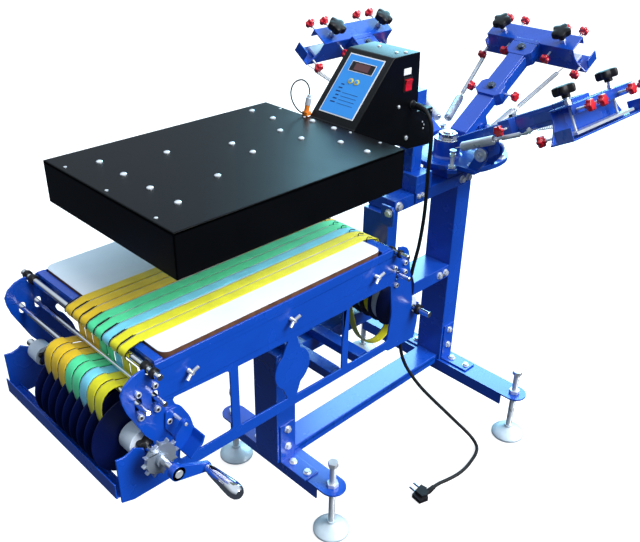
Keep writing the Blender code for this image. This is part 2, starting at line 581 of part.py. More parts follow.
def head_clamp(head):
    """The channel that grips a screen frame: its wall flares at the foot, and star knobs sit on both sides."""
    half_wall = [(0.130, 0.011), (0.130, -0.012), (0.134, -0.026), (0.142, -0.038), (0.158, -0.058)]
    wall = half_wall + [(-y, z) for y, z in half_wall[::-1]]
    shapes = [
        on_arm(prism(wall, "x", 0.3855, 0.3895)),
        on_arm(box(0.3860, 0.4370, -0.1297, 0.1297, 0.0075, 0.0114)),
        on_arm(box(0.4334, 0.4367, -0.1294, 0.1294, -0.0100, 0.0090)),
        on_arm(box(0.3858, 0.4400, -0.1577, 0.1577, -0.0583, -0.0545)),
        on_arm(box(0.3740, 0.3868, -0.0360, 0.0360, -0.0195, 0.0193)),
    ]
    for side in SIDES:
        shapes.append(on_arm(box(0.4000, 0.4397, *span(side, 0.1540, 0.1574), -0.0580, -0.0300)))
    for y, z, start, end in (
        (-0.112, -0.001, 0.433, 0.474),
        (-0.062, -0.001, 0.433, 0.474),
        (0.062, -0.001, 0.433, 0.474),
        (0.112, -0.001, 0.433, 0.474),
        (-0.062, -0.028, 0.387, 0.352),
        (0.062, -0.028, 0.387, 0.352),
        (-0.132, -0.036, 0.387, 0.352),
        (0.132, -0.036, 0.387, 0.352),
    ):
        knob = end - math.copysign(0.014, end - start)
        shapes.append(on_arm(rod("x", (y, z), 0.0030, *sorted((start, (knob + end) / 2)), 6)))
        shapes.append(on_arm(star((y, z), "x", *sorted((knob, end)), 0.0125)))
    place = head_frame(head)
    node(f"head_clamp_{head}", "blue", [moved(shape, place) for shape in shapes], origin=place.translation)


def clamp_knob(head, number, y):
    shapes = [
        on_arm(star((0.408, y), "z", 0.0330, 0.0530, 0.0250)),
        on_arm(rod("z", (0.408, y), 0.0090, 0.0260, 0.0340, 8)),
        on_arm(rod("z", (0.408, y), 0.0045, 0.0117, 0.0270, 6)),
    ]
    place = head_frame(head)
    axis = place @ Vector((0.408 - 0.121, y, ARM_LIFT + 0.030))
    node(f"clamp_knob_{head}{number}", "black", [moved(shape, place) for shape in shapes], origin=axis)


def spring(head, side, letter):
    """A thick and a thin close-wound spring in line, as their outer tubes, with the wire of their hooks."""
    top = head_frame(head) @ Vector(SPRING_ENDS[head][letter])
    low = about_hub(HEADS[head][0]) @ Vector((0.0715, side * 0.0640, 0.8165))
    way = (top - low).normalized()
    coil_start, coil_end = low + way * 0.016, low + way * 0.106
    shapes = [
        bar(coil_start, coil_end, 0.0090, 8),
        bar(low + way * 0.124, top - way * 0.020, 0.0042, 8),
        bar(low + way * 0.004, coil_start + way * 0.004, 0.0018, 6),
        bar(coil_end - way * 0.004, top - way * 0.003, 0.0018, 6),
    ]
    node(f"spring_{head}{letter}", "chrome", shapes, origin=low)


def print_heads():
    for head in HEADS:
        head_arm(head)
        head_clamp(head)
        clamp_knob(head, 1, 0.089)
        clamp_knob(head, 2, -0.089)
        spring(head, 1, "l")
        spring(head, -1, "r")


# ---- Mains cord: down beside the mast, out between the posts and over the floor to its plug ----
CORD_ROUTE = (
    (1.2890, -0.0783, 0.9520), (1.2890, -0.0850, 0.9520), (1.2880, -0.1040, 0.9469), (1.2865, -0.1182, 0.9332),
    (1.2870, -0.1240, 0.9140), (1.2930, -0.1215, 0.8800), (1.3020, -0.1145, 0.8350), (1.3130, -0.1060, 0.7900),
    (1.3250, -0.0980, 0.7450), (1.3340, -0.0900, 0.6750), (1.3350, -0.0820, 0.6000), (1.3270, -0.0760, 0.5400),
    (1.3190, -0.0700, 0.4700), (1.3170, -0.0640, 0.3900), (1.3200, -0.0600, 0.3300), (1.3270, -0.0600, 0.2800),
    (1.3400, -0.0720, 0.2300), (1.3610, -0.1020, 0.1770), (1.3870, -0.1330, 0.1320), (1.4130, -0.1600, 0.0920),
    (1.4370, -0.1880, 0.0540), (1.4525, -0.2140, 0.0270), (1.4550, -0.2360, 0.0120), (1.4440, -0.2560, 0.0060),
    (1.4200, -0.2690, 0.0050), (1.3880, -0.2770, 0.0050), (1.3560, -0.2820, 0.0050), (1.3240, -0.2820, 0.0050),
    (1.2900, -0.2765, 0.0054), (1.2600, -0.2700, 0.0072), (1.2383, -0.2688, 0.0085),
)


def smooth_route(route, spacing):
    """Points about this far apart on a Catmull-Rom curve through the route's points."""
    knots = [Vector(point) for point in route]
    knots = [2 * knots[0] - knots[1], *knots, 2 * knots[-1] - knots[-2]]
    fine = []
    for a, b, c, d in zip(knots, knots[1:], knots[2:], knots[3:]):
        for i in range(20):
            t = i / 20
            fine.append(b + (c - a) * (t / 2) + (2 * a - 5 * b + 4 * c - d) * (t * t / 2)
                        + (3 * b - a - 3 * c + d) * (t ** 3 / 2))
    fine.append(knots[-2])
    lengths = [0.0]
    for a, b in zip(fine, fine[1:]):
        lengths.append(lengths[-1] + (b - a).length)
    count = round(lengths[-1] / spacing)
    points = []
    here = 0
    for i in range(count + 1):
        wanted = lengths[-1] * i / count
        while here < len(lengths) - 2 and lengths[here + 1] < wanted:
            here += 1
        part = (wanted - lengths[here]) / (lengths[here + 1] - lengths[here])
        points.append(fine[here].lerp(fine[here + 1], part))
    return points


def power_cord():
    curve = bpy.data.curves.new("power_cord", "CURVE")
    curve.dimensions = "3D"
    curve.bevel_depth = CORD_R
    curve.bevel_resolution = 2
    curve.use_fill_caps = True
    points = [Vector(CORD_ROUTE[0]), *smooth_route(CORD_ROUTE[1:], 0.022)]
    line = curve.splines.new("POLY")
    line.points.add(len(points) - 1)
    for target, point in zip(line.points, points):
        target.co = (*(point + SHIFT), 1)
    curve.materials.append(material("power_cord", "black"))
    bpy.context.scene.collection.objects.link(bpy.data.objects.new("power_cord", curve))


def power_plug():
    """A right-angle plug on its side: a body with two round pins, and a tapered strain relief."""
    foot = [(1.1720, -0.2760), (1.1760, -0.2480), (1.2140, -0.2440), (1.2170, -0.2640), (1.1960, -0.2840)]
    top = [(1.1820, -0.2740), (1.1850, -0.2500), (1.2120, -0.2470), (1.2140, -0.2640), (1.1960, -0.2800)]
    relief_end = Vector((1.2378, -0.2688, 0.0085))
    shapes = [
        prism(foot, "z", 0.0004, 0.0120),
        prism(top, "z", 0.0110, 0.0200),
        bar((1.1950, -0.2705, 0.0100), relief_end, 0.0065),
        bar((1.1900, -0.2500, 0.0095), (1.1920, -0.2270, 0.0095), 0.0024),
        bar((1.2080, -0.2480, 0.0095), (1.2100, -0.2250, 0.0095), 0.0024),
    ]
    node("power_plug", "black", shapes)


foot_channel("foot_channel_front", FRONT_X, FRONT_HALF)
foot_channel("foot_channel_rear", REAR_X, REAR_HALF)
for position, foot_x, foot_y in (
    ("fr", FRONT_X, -FRONT_HALF), ("fl", FRONT_X, FRONT_HALF), ("rr", REAR_X, -REAR_HALF), ("rl", REAR_X, REAR_HALF),
):
    level_foot(f"level_foot_{position}", foot_x, foot_y)
lower_frame()
mid_beam()
upper_frame()
side_plate("side_plate_near", -1)
side_plate("side_plate_far", 1)
bed()
roller("roller_front_top", FRONT_TOP, 0.0080, 0.230, 0.0105)
roller("roller_front_inner", FRONT_INNER, 0.0060, 0.230, 0.0080)
roller("roller_front_outer", FRONT_OUTER, 0.0060, 0.230, 0.0080)
roller("roller_rear_top", REAR_TOP, 0.0070, 0.236, 0.0100)
roller("roller_rear_low", REAR_LOW, 0.0060, 0.234, 0.0080)
unwinder()
take_up()
ribbons()
dryer_head()
dryer_mast()
base_and_hub()
turntable()
print_heads()
power_cord()
power_plug()
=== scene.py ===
"""Looks for the ribbon screen-printing carousel. Lengths are metres in the machine's own frame, and SHIFT
moves them over the origin, as in the CAD."""
from math import atan2, cos, degrees, pi, radians, sin

import bmesh
import bpy
from mathutils import Matrix, Vector
from mathutils.geometry import tessellate_polygon


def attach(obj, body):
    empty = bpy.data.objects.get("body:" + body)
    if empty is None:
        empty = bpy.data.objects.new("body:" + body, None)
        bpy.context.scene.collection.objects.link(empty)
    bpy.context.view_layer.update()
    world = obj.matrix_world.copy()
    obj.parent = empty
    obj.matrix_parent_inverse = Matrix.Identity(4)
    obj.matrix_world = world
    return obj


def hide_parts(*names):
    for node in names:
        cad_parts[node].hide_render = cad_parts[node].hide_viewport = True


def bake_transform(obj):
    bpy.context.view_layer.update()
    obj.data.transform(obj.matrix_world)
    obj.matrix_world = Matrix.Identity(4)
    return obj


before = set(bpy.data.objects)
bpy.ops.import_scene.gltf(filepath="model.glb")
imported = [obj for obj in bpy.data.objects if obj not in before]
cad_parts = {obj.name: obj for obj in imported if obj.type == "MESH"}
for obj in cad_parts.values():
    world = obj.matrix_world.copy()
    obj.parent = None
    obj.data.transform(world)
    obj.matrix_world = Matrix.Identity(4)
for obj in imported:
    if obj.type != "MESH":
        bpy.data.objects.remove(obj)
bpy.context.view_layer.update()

SHIFT = Vector((-1.1695, 0.0126, 0.0))
SIDES = (-1, 1)
PLATE_IN, PLATE_OUT = 0.198, 0.202
UNWIND, TAKE_UP = (0.487, 0.565), (1.178, 0.545)
BED, POST, BASE, DRYER = 0.1977, 0.0415, 0.0325, 0.2035   # half widths
ON_CHANNEL = 0.1433
HANDLE, PAWL_PIN = (0.5415, 0.544), (0.5385, 0.608)
FRONT_TOP, FRONT_INNER, FRONT_OUTER = (0.505, 0.715), (0.509, 0.66), (0.4775, 0.66)
REAR_TOP, REAR_LOW = (1.1, 0.712), (1.112, 0.655)
LANE, LANE_START, LINES = 0.0245, -0.1465, 9   # pitch, nearest edge, and edges of the eight lanes
HUB = Vector((1.524, 0.0, 0.0))
PIVOT_R, PIVOT_Z, ARM_LIFT = 0.125, 0.803, 0.044
HEADS = {"a": (90.0, 35.2), "b": (0.0, 33.3), "c": (-90.0, 28.4)}
KNOB_X, KNOB_Y = 0.408, 0.089
SCREW_Z, SCREW_R = -0.001, 0.003
SPRING_LEFT = (0.2665, 0.15, -0.016)   # upper ends of the springs, from the pivot along the raised arm
SPRING_RIGHT = {"a": (0.2665, -0.15, -0.016), "b": (0.2665, -0.09, -0.016), "c": (0.15, -0.042, 0.02)}


def placed(name, data):
    """A new object in the scene."""
    made = bpy.data.objects.new(name, data)
    bpy.context.scene.collection.objects.link(made)
    return made


# ---- Camera ----
def camera():
    yaw, pitch, roll = radians(44.91), radians(29.27), radians(0.99)
    forward = Vector((sin(yaw) * cos(pitch), cos(yaw) * cos(pitch), -sin(pitch)))
    right = Vector((cos(yaw), -sin(yaw), 0.0))
    up = right.cross(forward)
    side = right * cos(roll) + up * sin(roll)
    top = up * cos(roll) - right * sin(roll)
    made = placed("camera", bpy.data.cameras.new("camera"))
    made.data.sensor_width = 36.0
    made.data.lens = 43.3
    turn = Matrix((side, top, -forward)).transposed().to_4x4()
    made.matrix_world = Matrix.Translation(Vector((0.0, -1.0846, 1.45)) + SHIFT) @ turn
    bpy.context.scene.camera = made


# ---- Materials ----
def new_material(name, color, roughness, metallic=0.0, coat=0.0):
    made = bpy.data.materials.new(name)
    made.use_nodes = True
    fill(surface(made), Base_Color=(*color, 1), Roughness=roughness, Metallic=metallic, Coat_Weight=coat,
         Coat_Roughness=0.18, Specular_IOR_Level=0.5 if metallic or coat else 0.2)
    return made


def surface(made):
    return made.node_tree.nodes["Principled BSDF"]


def fill(node, **values):
    """Sets a node's inputs. Each name has _ for a space."""
    for name, value in values.items():
        node.inputs[name.replace("_", " ")].default_value = value


def texture(made, kind, **values):
    """A texture node read in object coordinates."""
    place, pattern = (made.node_tree.nodes.new(f"ShaderNodeTex{which}") for which in ("Coord", kind))
    fill(pattern, **values)
    made.node_tree.links.new(place.outputs["Object"], pattern.inputs["Vector"])
    return pattern


def between(made, pattern, kind, entry, target, **values):
    """A node that passes a pattern on to one input of the surface."""
    node = made.node_tree.nodes.new(f"ShaderNode{kind}")
    fill(node, **values)
    made.node_tree.links.new(pattern.outputs[0], node.inputs[entry])
    made.node_tree.links.new(node.outputs[0], surface(made).inputs[target])
    return node


def vary_color(made, pattern, color, dark, light):
    ramp = between(made, pattern, "ValToRGB", "Fac", "Base Color").color_ramp
    for element, factor, position in zip(ramp.elements, (dark, light), (0.3, 0.7)):
        element.color = (*(min(1.0, part * factor) for part in color), 1)
        element.position = position


def finish_of(name, color, roughness, metallic=0.0, coat=0.0, grain=900, bump=0.15, spread=0.12, blotch=14):
    """A paint, plastic or metal: fine grain in the surface, and a slow change in colour and gloss."""
    made = new_material(name, color, roughness, metallic, coat)
    slow = texture(made, "Noise", Scale=blotch, Detail=3.0)
    vary_color(made, slow, color, 1 - spread, 1 + spread)
    between(made, slow, "MapRange", "Value", "Roughness", To_Min=roughness * 0.85, To_Max=roughness * 1.2)
    fine = texture(made, "Noise", Scale=grain, Detail=2.0)
    between(made, fine, "Bump", "Height", "Normal", Strength=bump, Distance=0.0002)
    return made


def woven(name, color):
    """Grosgrain ribbon: fine cross ribs and a soft sheen."""
    made = new_material(name, color, 0.55)
    fill(surface(made), Sheen_Weight=0.25, Sheen_Roughness=0.4)
    vary_color(made, texture(made, "Noise", Scale=30, Detail=4.0), color, 0.88, 1.08)
    ribs = texture(made, "Wave", Scale=420)
    ribs.bands_direction = "X"
    between(made, ribs, "Bump", "Height", "Normal", Strength=0.35, Distance=0.0003)
    return made


BLUE = finish_of("blue_paint", (0.003, 0.066, 0.48), 0.26, coat=0.6, bump=0.05, spread=0.06)
NAVY = finish_of("navy_paint", (0.002, 0.006, 0.055), 0.42)
BLACK = finish_of("black_paint", (0.0012, 0.0016, 0.0024), 0.34, grain=1500, bump=0.2)
STEEL = finish_of("dark_steel", (0.1, 0.12, 0.16), 0.25, metallic=1.0, grain=1200, bump=0.1)
ZINC = finish_of("zinc", (0.74, 0.78, 0.82), 0.28, metallic=0.55, grain=1200, bump=0.1)
IRON = finish_of("grey_zinc", (0.34, 0.4, 0.48), 0.3, metallic=0.6, grain=1200, bump=0.1)
PALE = finish_of("pale_zinc", (0.62, 0.74, 0.82), 0.3, metallic=0.15, grain=1200, bump=0.1)
CHROME = finish_of("chrome", (0.82, 0.83, 0.85), 0.12, metallic=1.0, spread=0.03, bump=0.03)
WHITE = finish_of("laminate", (0.8, 0.84, 0.9), 0.42, spread=0.03, grain=2500, bump=0.08)
BOARD = finish_of("board_edge", (0.12, 0.055, 0.03), 0.75, spread=0.3, grain=700, bump=0.6, blotch=60)
RED = finish_of("red_plastic", (0.62, 0.008, 0.02), 0.25, coat=0.4, spread=0.08)
DARK = finish_of("black_plastic", (0.012, 0.012, 0.014), 0.38, spread=0.1)
DRUM = finish_of("white_plastic", (0.62, 0.7, 0.78), 0.45, spread=0.05)
RUBBER = finish_of("cord_rubber", (0.01, 0.01, 0.011), 0.5, grain=2200, bump=0.2)
FILM = finish_of("panel_film", (0.045, 0.32, 0.86), 0.35, spread=0.04)
LABEL = finish_of("white_film", (0.85, 0.86, 0.88), 0.4, spread=0.03)
PRINT = finish_of("dark_print", (0.01, 0.03, 0.16), 0.45, spread=0.03)
GLASS = finish_of("display_window", (0.1, 0.004, 0.008), 0.12, coat=0.6, spread=0.2)
BUTTON = finish_of("yellow_button", (0.7, 0.62, 0.06), 0.4, spread=0.05)
AMBER = finish_of("orange_plastic", (0.75, 0.2, 0.02), 0.35, spread=0.05)
SLOTS = {
    BLUE: "blue_paint", NAVY: "navy_paint", BLACK: "black_paint", RED: "red_plastic", DARK: "black_plastic",
    RUBBER: "cord_rubber", WHITE: "pallet_board", BOARD: "pallet_board", CHROME: "chrome", ZINC: "zinc",
    STEEL: "zinc", IRON: "zinc", PALE: "zinc",
}
RIBBON_COLORS = ("yellow", "yellow", "sky", "green", "green", "gold", "gold", "gold")   # from the near side
CLOTHS = (("yellow", (0.78, 0.74, 0.02)), ("gold", (0.88, 0.58, 0.02)), ("green", (0.1, 0.8, 0.36)),
          ("sky", (0.2, 0.68, 0.86)))
RIBBONS = {name: woven(f"ribbon_{name}", color) for name, color in CLOTHS}


# ---- Shapes: each is a list of vertices and a list of faces ----
def span(side, near, far):
    return tuple(sorted((side * near, side * far)))


def box(x0, x1, y0, y1, z0, z1):
    corners = [(x, y, z) for x in (x0, x1) for y in (y0, y1) for z in (z0, z1)]
    return corners, [(0, 1, 3, 2), (4, 6, 7, 5), (0, 4, 5, 1), (2, 3, 7, 6), (0, 2, 6, 4), (1, 5, 7, 3)]


def put(axis, a, b, along):
    return {"x": (along, a, b), "y": (a, along, b), "z": (a, b, along)}[axis]


def prism(outline, axis, low, high, holes=()):
    """An outline, less its holes, extruded along an axis. With no holes its ends are single faces."""
    loops = [outline, *holes]
    flat = [point for loop in loops for point in loop]
    count = len(flat)
    points = [put(axis, a, b, low) for a, b in flat] + [put(axis, a, b, high) for a, b in flat]
    caps = [range(count)]
    if holes:
        caps = tessellate_polygon([[Vector((a, b, 0)) for a, b in loop] for loop in loops])
    faces = [tuple(cap) for cap in caps] + [tuple(i + count for i in reversed(cap)) for cap in caps]
    start = 0
    for loop in loops:
        size = len(loop)
        for i in range(size):
            a = start + i
            b = start + (i + 1) % size
            faces.append((a, b, b + count, a + count))
        start += size
    return points, faces


def arc(center, radius, steps, start, end):
    angles = [radians(start + (end - start) * i / steps) for i in range(steps + 1)]
    return [(center[0] + radius * cos(angle), center[1] + radius * sin(angle)) for angle in angles]


def ring(center, radius, count):
    return arc(center, radius, count, 0, 360)[:-1]


def mirrored(half):
    """A closed outline from its half on one side of the first axis."""
    return half + [(a, -b) for a, b in half[::-1]]


def turned(profile, axis, center, count=32, lobes=0, depth=0.0):
    """(radius, position) pairs turned about an axis, and closed on it. Lobes make each ring a star."""
    if profile[0][0]:
        profile = [(0, profile[0][1]), *profile]
    if profile[-1][0]:
        profile = [*profile, (0, profile[-1][1])]
    a, b = center
    points = [put(axis, a, b, profile[0][1])]
    faces = []
    for radius, position in profile[1:-1]:
        for i in range(count):
            angle = 2 * pi * i / count
            reach = radius * (1 + depth * cos(lobes * angle))
            points.append(put(axis, a + reach * cos(angle), b + reach * sin(angle), position))
    points.append(put(axis, a, b, profile[-1][1]))
    last = len(points) - 1
    for i in range(count):
        j = (i + 1) % count
        faces += [(0, 1 + i, 1 + j), (last, last - count + j, last - count + i)]
        for k in range(len(profile) - 3):
            low = 1 + k * count
            faces.append((low + i, low + count + i, low + count + j, low + j))
    return points, faces


def rod(axis, center, radius, low, high, count=24):
    return turned([(radius, low), (radius, high)], axis, center, count)


def thread(axis, center, radius, low, high, pitch=0.0018, depth=0.0008):
    """A threaded stud, drawn as close ridges."""
    profile = []
    for i in range(int((high - low) / pitch)):
        profile += [(radius - depth, low + i * pitch), (radius, low + (i + 0.5) * pitch)]
    return turned([*profile, (radius - depth, high)], axis, center, 16)


def bolt(center, axis, radius, face, top):
    """A hex head on a washer. face is where the washer sits, and top the end of the head."""
    out = 1 if top > face else -1
    washer = rod(axis, center, radius * 1.3, *sorted((face - out * 0.0005, face + out * 0.0014)))
    head = prism(ring(center, radius, 6), axis, *sorted((face, top)))
    tip = rod(axis, center, radius * 0.55, *sorted((face, top + out * 0.0006)))
    return [washer, head, tip]


def shifted(point):
    return tuple(Vector(point) + SHIFT)


def moved(shape, matrix):
    return [tuple(matrix @ Vector(point)) for point in shape[0]], shape[1]


def bar(start, end, radius, count=16):
    way = Vector(end) - Vector(start)
    turn = way.to_track_quat("Z", "Y").to_matrix().to_4x4()
    return moved(rod("z", (0, 0), radius, 0.0, way.length, count), Matrix.Translation(start) @ turn)


# ---- Pieces ----
def piece(name, body, material, shapes, bevel=0.0008, stands_for=None, place=None, slot=None):
    """One piece from closed shapes, with rounded edges."""
    mesh = bpy.data.meshes.new(name)
    points, faces = [], []
    for shape in shapes:
        start = len(points)
        points += shape[0]
        faces += [tuple(start + i for i in face) for face in shape[1]]
    if place is not None:
        points = [place @ Vector(point) for point in points]
    mesh.from_pydata([shifted(point) for point in points], [], faces)
    work = bmesh.new()
    work.from_mesh(mesh)
    bmesh.ops.recalc_face_normals(work, faces=work.faces)
    work.to_mesh(mesh)
    work.free()
    mesh.materials.append(material)
    mesh.shade_smooth()
    mesh.set_sharp_from_angle(angle=radians(32))
    made = placed(name, mesh)
    if bevel:
        edge = made.modifiers.new("round_edges", "BEVEL")
        edge.width = bevel
        edge.segments = 2
        edge.limit_method = "ANGLE"
        edge.angle_limit = radians(40)
        edge.harden_normals = True
    if body:
        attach(made, body)
    if stands_for:
        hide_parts(stands_for)
    slot = slot or SLOTS.get(material)
    return made


def tube(points, radius, count=8):
    """A round wire along points, as one shape."""
    line = [Vector(point) for point in points]
    made, faces = [], []
    across = (line[1] - line[0]).orthogonal().normalized()
    for i, point in enumerate(line):
        way = (line[min(i + 1, len(line) - 1)] - line[max(i - 1, 0)]).normalized()
        across = (across - way * across.dot(way)).normalized()
        over = way.cross(across)
        for k in range(count):
            angle = 2 * pi * k / count
            made.append(point + (across * cos(angle) + over * sin(angle)) * radius)
    for i in range(len(line) - 1):
        for k in range(count):
            a, b = i * count + k, i * count + (k + 1) % count
            faces.append((a, b, b + count, a + count))
    faces += [tuple(range(count)), tuple(range((len(line) - 1) * count, len(line) * count))]
    return made, faces


def smooth_route(route, spacing):
    """Points about this far apart on a Catmull-Rom curve through the route's points."""
    knots = [Vector(point) for point in route]
    knots = [2 * knots[0] - knots[1], *knots, 2 * knots[-1] - knots[-2]]
    fine = []
    for a, b, c, d in zip(knots, knots[1:], knots[2:], knots[3:]):
        for i in range(20):
            t = i / 20
            fine.append(b + (c - a) * (t / 2) + (2 * a - 5 * b + 4 * c - d) * (t * t / 2)
                        + (3 * b - a - 3 * c + d) * (t ** 3 / 2))
    fine.append(knots[-2])
    lengths = [0.0]
    for a, b in zip(fine, fine[1:]):
        lengths.append(lengths[-1] + (b - a).length)
    count = max(2, round(lengths[-1] / spacing))
    points = []
    here = 0
    for i in range(count + 1):
        wanted = lengths[-1] * i / count
        while here < len(lengths) - 2 and lengths[here + 1] < wanted:
            here += 1
        part = (wanted - lengths[here]) / (lengths[here + 1] - lengths[here])
        points.append(fine[here].lerp(fine[here + 1], part))
    return points


# ---- Mains cord and its plug ----
CORD_ROUTE = (
    (1.289, -0.0783, 0.952), (1.289, -0.085, 0.952), (1.288, -0.104, 0.9469), (1.2865, -0.1182, 0.9332),
    (1.287, -0.124, 0.914), (1.293, -0.1215, 0.88), (1.302, -0.1145, 0.835), (1.313, -0.106, 0.79),
    (1.325, -0.098, 0.745), (1.334, -0.09, 0.675), (1.335, -0.082, 0.6), (1.327, -0.076, 0.54),
    (1.319, -0.07, 0.47), (1.317, -0.064, 0.39), (1.32, -0.06, 0.33), (1.327, -0.06, 0.28),
    (1.34, -0.072, 0.23), (1.361, -0.102, 0.177), (1.387, -0.133, 0.132), (1.413, -0.16, 0.092),
    (1.437, -0.188, 0.054), (1.4525, -0.214, 0.027), (1.455, -0.236, 0.012), (1.444, -0.256, 0.006),
    (1.42, -0.269, 0.005), (1.388, -0.277, 0.005), (1.356, -0.282, 0.005), (1.324, -0.282, 0.005),
    (1.29, -0.2765, 0.0054), (1.26, -0.27, 0.0072), (1.2383, -0.2688, 0.0085),
)


def cord():
    line = [Vector(CORD_ROUTE[0]), *smooth_route(CORD_ROUTE[1:], 0.012)]
    flex = piece("mains_cord", None, RUBBER, [tube(line, 0.0045, 20)], 0, "power_cord")
    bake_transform(flex)
    neck = smooth_route(CORD_ROUTE[:4], 0.0024)[1:13]
    pairs = enumerate(zip(neck, neck[1:]))
    sleeve = [bar(a, b, 0.0076 - 0.0002 * i - 0.0008 * (i % 2)) for i, (a, b) in pairs]
    piece("cord_sleeve", "dryer", DARK, sleeve, 0)
    foot = [(1.172, -0.276), (1.176, -0.248), (1.214, -0.244), (1.217, -0.264), (1.196, -0.284)]
    top = [(1.182, -0.274), (1.185, -0.25), (1.212, -0.247), (1.214, -0.264), (1.196, -0.28)]
    start, end = Vector((1.195, -0.2705, 0.01)), Vector((1.2378, -0.2688, 0.0085))
    ribs = [bar(start.lerp(end, 0.2), end, 0.006)]
    for i in range(6):
        at = start.lerp(end, 0.45 + 0.09 * i)
        ribs.append(bar(at, at.lerp(end, 0.1), 0.0072 - 0.0002 * i))
    shell = [prism(foot, "z", 0.0004, 0.012), prism(top, "z", 0.011, 0.02)]
    plug = piece("plug_body", "stand", DARK, shell + ribs, 0.0022, "power_plug")
    ends = ((1.19, -0.25), (1.208, -0.248))
    pins = [bar((x, y, 0.0095), (x + 0.002, y + 0.023, 0.0095), 0.0024) for x, y in ends]
    prongs = piece("plug_pins", "stand", CHROME, pins)


# ---- Frame ----
def foot_channel(name, x, half_span):
    half = 0.032
    plan = arc((x, half_span), half, 20, 0, 180) + arc((x, -half_span), half, 20, 180, 360)
    reach = half_span - 0.022
    shapes = [
        prism(plan, "z", 0.1385, 0.143, [ring((x, side * half_span), 0.0085, 20) for side in SIDES]),
        box(x - half, x - half + 0.004, -reach, reach, 0.108, 0.14),
        box(x + half - 0.004, x + half, -reach, reach, 0.108, 0.14),
    ]
    piece(f"{name}_skin", "stand", BLUE, shapes, stands_for=name)


def level_foot(node, body, x, y):
    pad = [(0.042, 0.0), (0.044, 0.002), (0.044, 0.007), (0.042, 0.01), (0.03, 0.017), (0.016, 0.022)]
    pad += [(0.011, 0.026), (0.01, 0.032)]
    piece(f"{node}_pad", body, PALE, [turned(pad, "z", (x, y), 48)], 0, node)
    nuts = ((0.0145, 0.122, 0.138), (0.0145, 0.1435, 0.1535), (0.013, 0.204, 0.216))
    shapes = [prism(ring((x, y), radius, 6), "z", low, high) for radius, low, high in nuts]
    piece(f"{node}_stud", body, ZINC, [thread("z", (x, y), 0.0083, 0.03, 0.212), *shapes], 0.0006)


def corner_bracket(x0, x1, face_y, side):
    middle = (x0 + x1) / 2
    steel = [
        box(x0, x1, *span(side, face_y - 0.001, face_y + 0.004), ON_CHANNEL, 0.255),
        box(x0, x1, *span(side, face_y - 0.001, face_y + 0.088), ON_CHANNEL, 0.148),
    ]
    bolts = []
    for z in (0.186, 0.237):
        bolts += bolt((middle, z), "y", 0.0075, side * (face_y + 0.004), side * (face_y + 0.011))
    for offset in (0.024, 0.072):
        bolts += bolt((middle, side * (face_y + offset)), "z", 0.0075, 0.148, 0.155)
    return steel, bolts


def frame_tubes():
    steel = [
        box(0.909, 0.968, -0.04, 0.04, ON_CHANNEL, 0.4197),
        box(0.967, 1.532, -BASE, BASE, ON_CHANNEL, 0.157),
        box(0.9875, 1.5275, -BASE, BASE, 0.129, 0.15),
        box(1.531, 1.589, -POST, POST, ON_CHANNEL, 0.6837),
    ]
    bolts = []
    for side in SIDES:
        for x0, x1, face in ((0.916, 0.961, 0.04), (1.538, 1.582, POST)):
            plates, heads = corner_bracket(x0, x1, face, side)
            steel += plates
            bolts += heads
    for x in (0.925, 0.95, 1.49, 1.515):
        bolts += bolt((x, 0.4385), "y", 0.008, -POST, -0.049)
    for x, radius in ((1.297, 0.009), (1.545, 0.008), (1.572, 0.008)):
        bolts += bolt((x, 0.7), "y", radius, -POST, -0.0495)
    bolts += bolt((-0.045, 0.696), "x", 0.008, 1.258, 1.251)
    piece("frame_posts", "stand", BLUE, steel, 0.0022, "lower_frame")
    beam = [box(0.909, 1.5307, -POST, POST, 0.42, 0.457)]
    for x in (0.935, 1.02):
        beam.append(box(x, x + 0.03, -0.18, 0.18, 0.456, 0.4785))
        beam.append(box(x + 0.001, x + 0.029, -BED, BED, 0.474, 0.478))
    piece("middle_beam", "stand", BLUE, beam, 0.0022, "mid_beam")
    ear = [(-0.02, 0.662), (-0.044, 0.662), *arc((-0.046, 0.674), 0.014, 6, 260, 190)]
    ear += [*arc((-0.046, 0.698), 0.014, 6, 170, 100), (-0.02, 0.712)]
    post = [box(1.265, 1.3, -0.04, 0.04, 0.4573, 0.6837), prism(ear, "x", 1.258, 1.2655)]
    piece("middle_post", "stand", BLUE, post, 0.0018, "post_middle")
    piece("top_beam", "stand", BLUE, [box(1.283, 1.59, -POST, POST, 0.684, 0.7165)], 0.0022, "upper_beam")
    piece("frame_bolts", "stand", ZINC, bolts, 0.0005)


# ---- Side plates, pallet and bars ----
def plate_outline():
    nose = [(0.4545, 0.655), (0.449, 0.676), (0.448, 0.692), (0.456, 0.706), (0.472, 0.717), (0.485, 0.7205)]
    notches = []
    for (x, z), radius in ((FRONT_TOP, 0.0095), (REAR_TOP, 0.0085)):
        notches += [(x - radius, 0.7205), *arc((x, z), radius, 16, 180, 360), (x + radius, 0.7205)]
    back = [(1.114, 0.718), (1.126, 0.7155), (1.137, 0.709), (1.144, 0.698), (1.15, 0.662), (1.158, 0.628)]
    back += [(1.164, 0.592), (TAKE_UP[0] - 0.0095, 0.572), *arc(TAKE_UP, 0.0095, 16, 180, 360)]
    back += [(TAKE_UP[0] + 0.0095, 0.556), (1.194, 0.552), (1.192, 0.5), (1.185, 0.462)]
    bottom = [(1.097, 0.466), (1.088, 0.472), (0.448, 0.4745), (0.425, 0.482), (0.425, 0.575), (0.44, 0.573)]
    bottom += [(0.452, 0.576), (0.459, 0.581), (UNWIND[0] - 0.0095, UNWIND[1] + 0.004)]
    bottom += [*arc(UNWIND, 0.0095, 16, 190, 370)[1:-1], (UNWIND[0] + 0.0095, UNWIND[1] + 0.008)]
    return [*nose, *notches, *back, *bottom, (0.483, 0.592)]


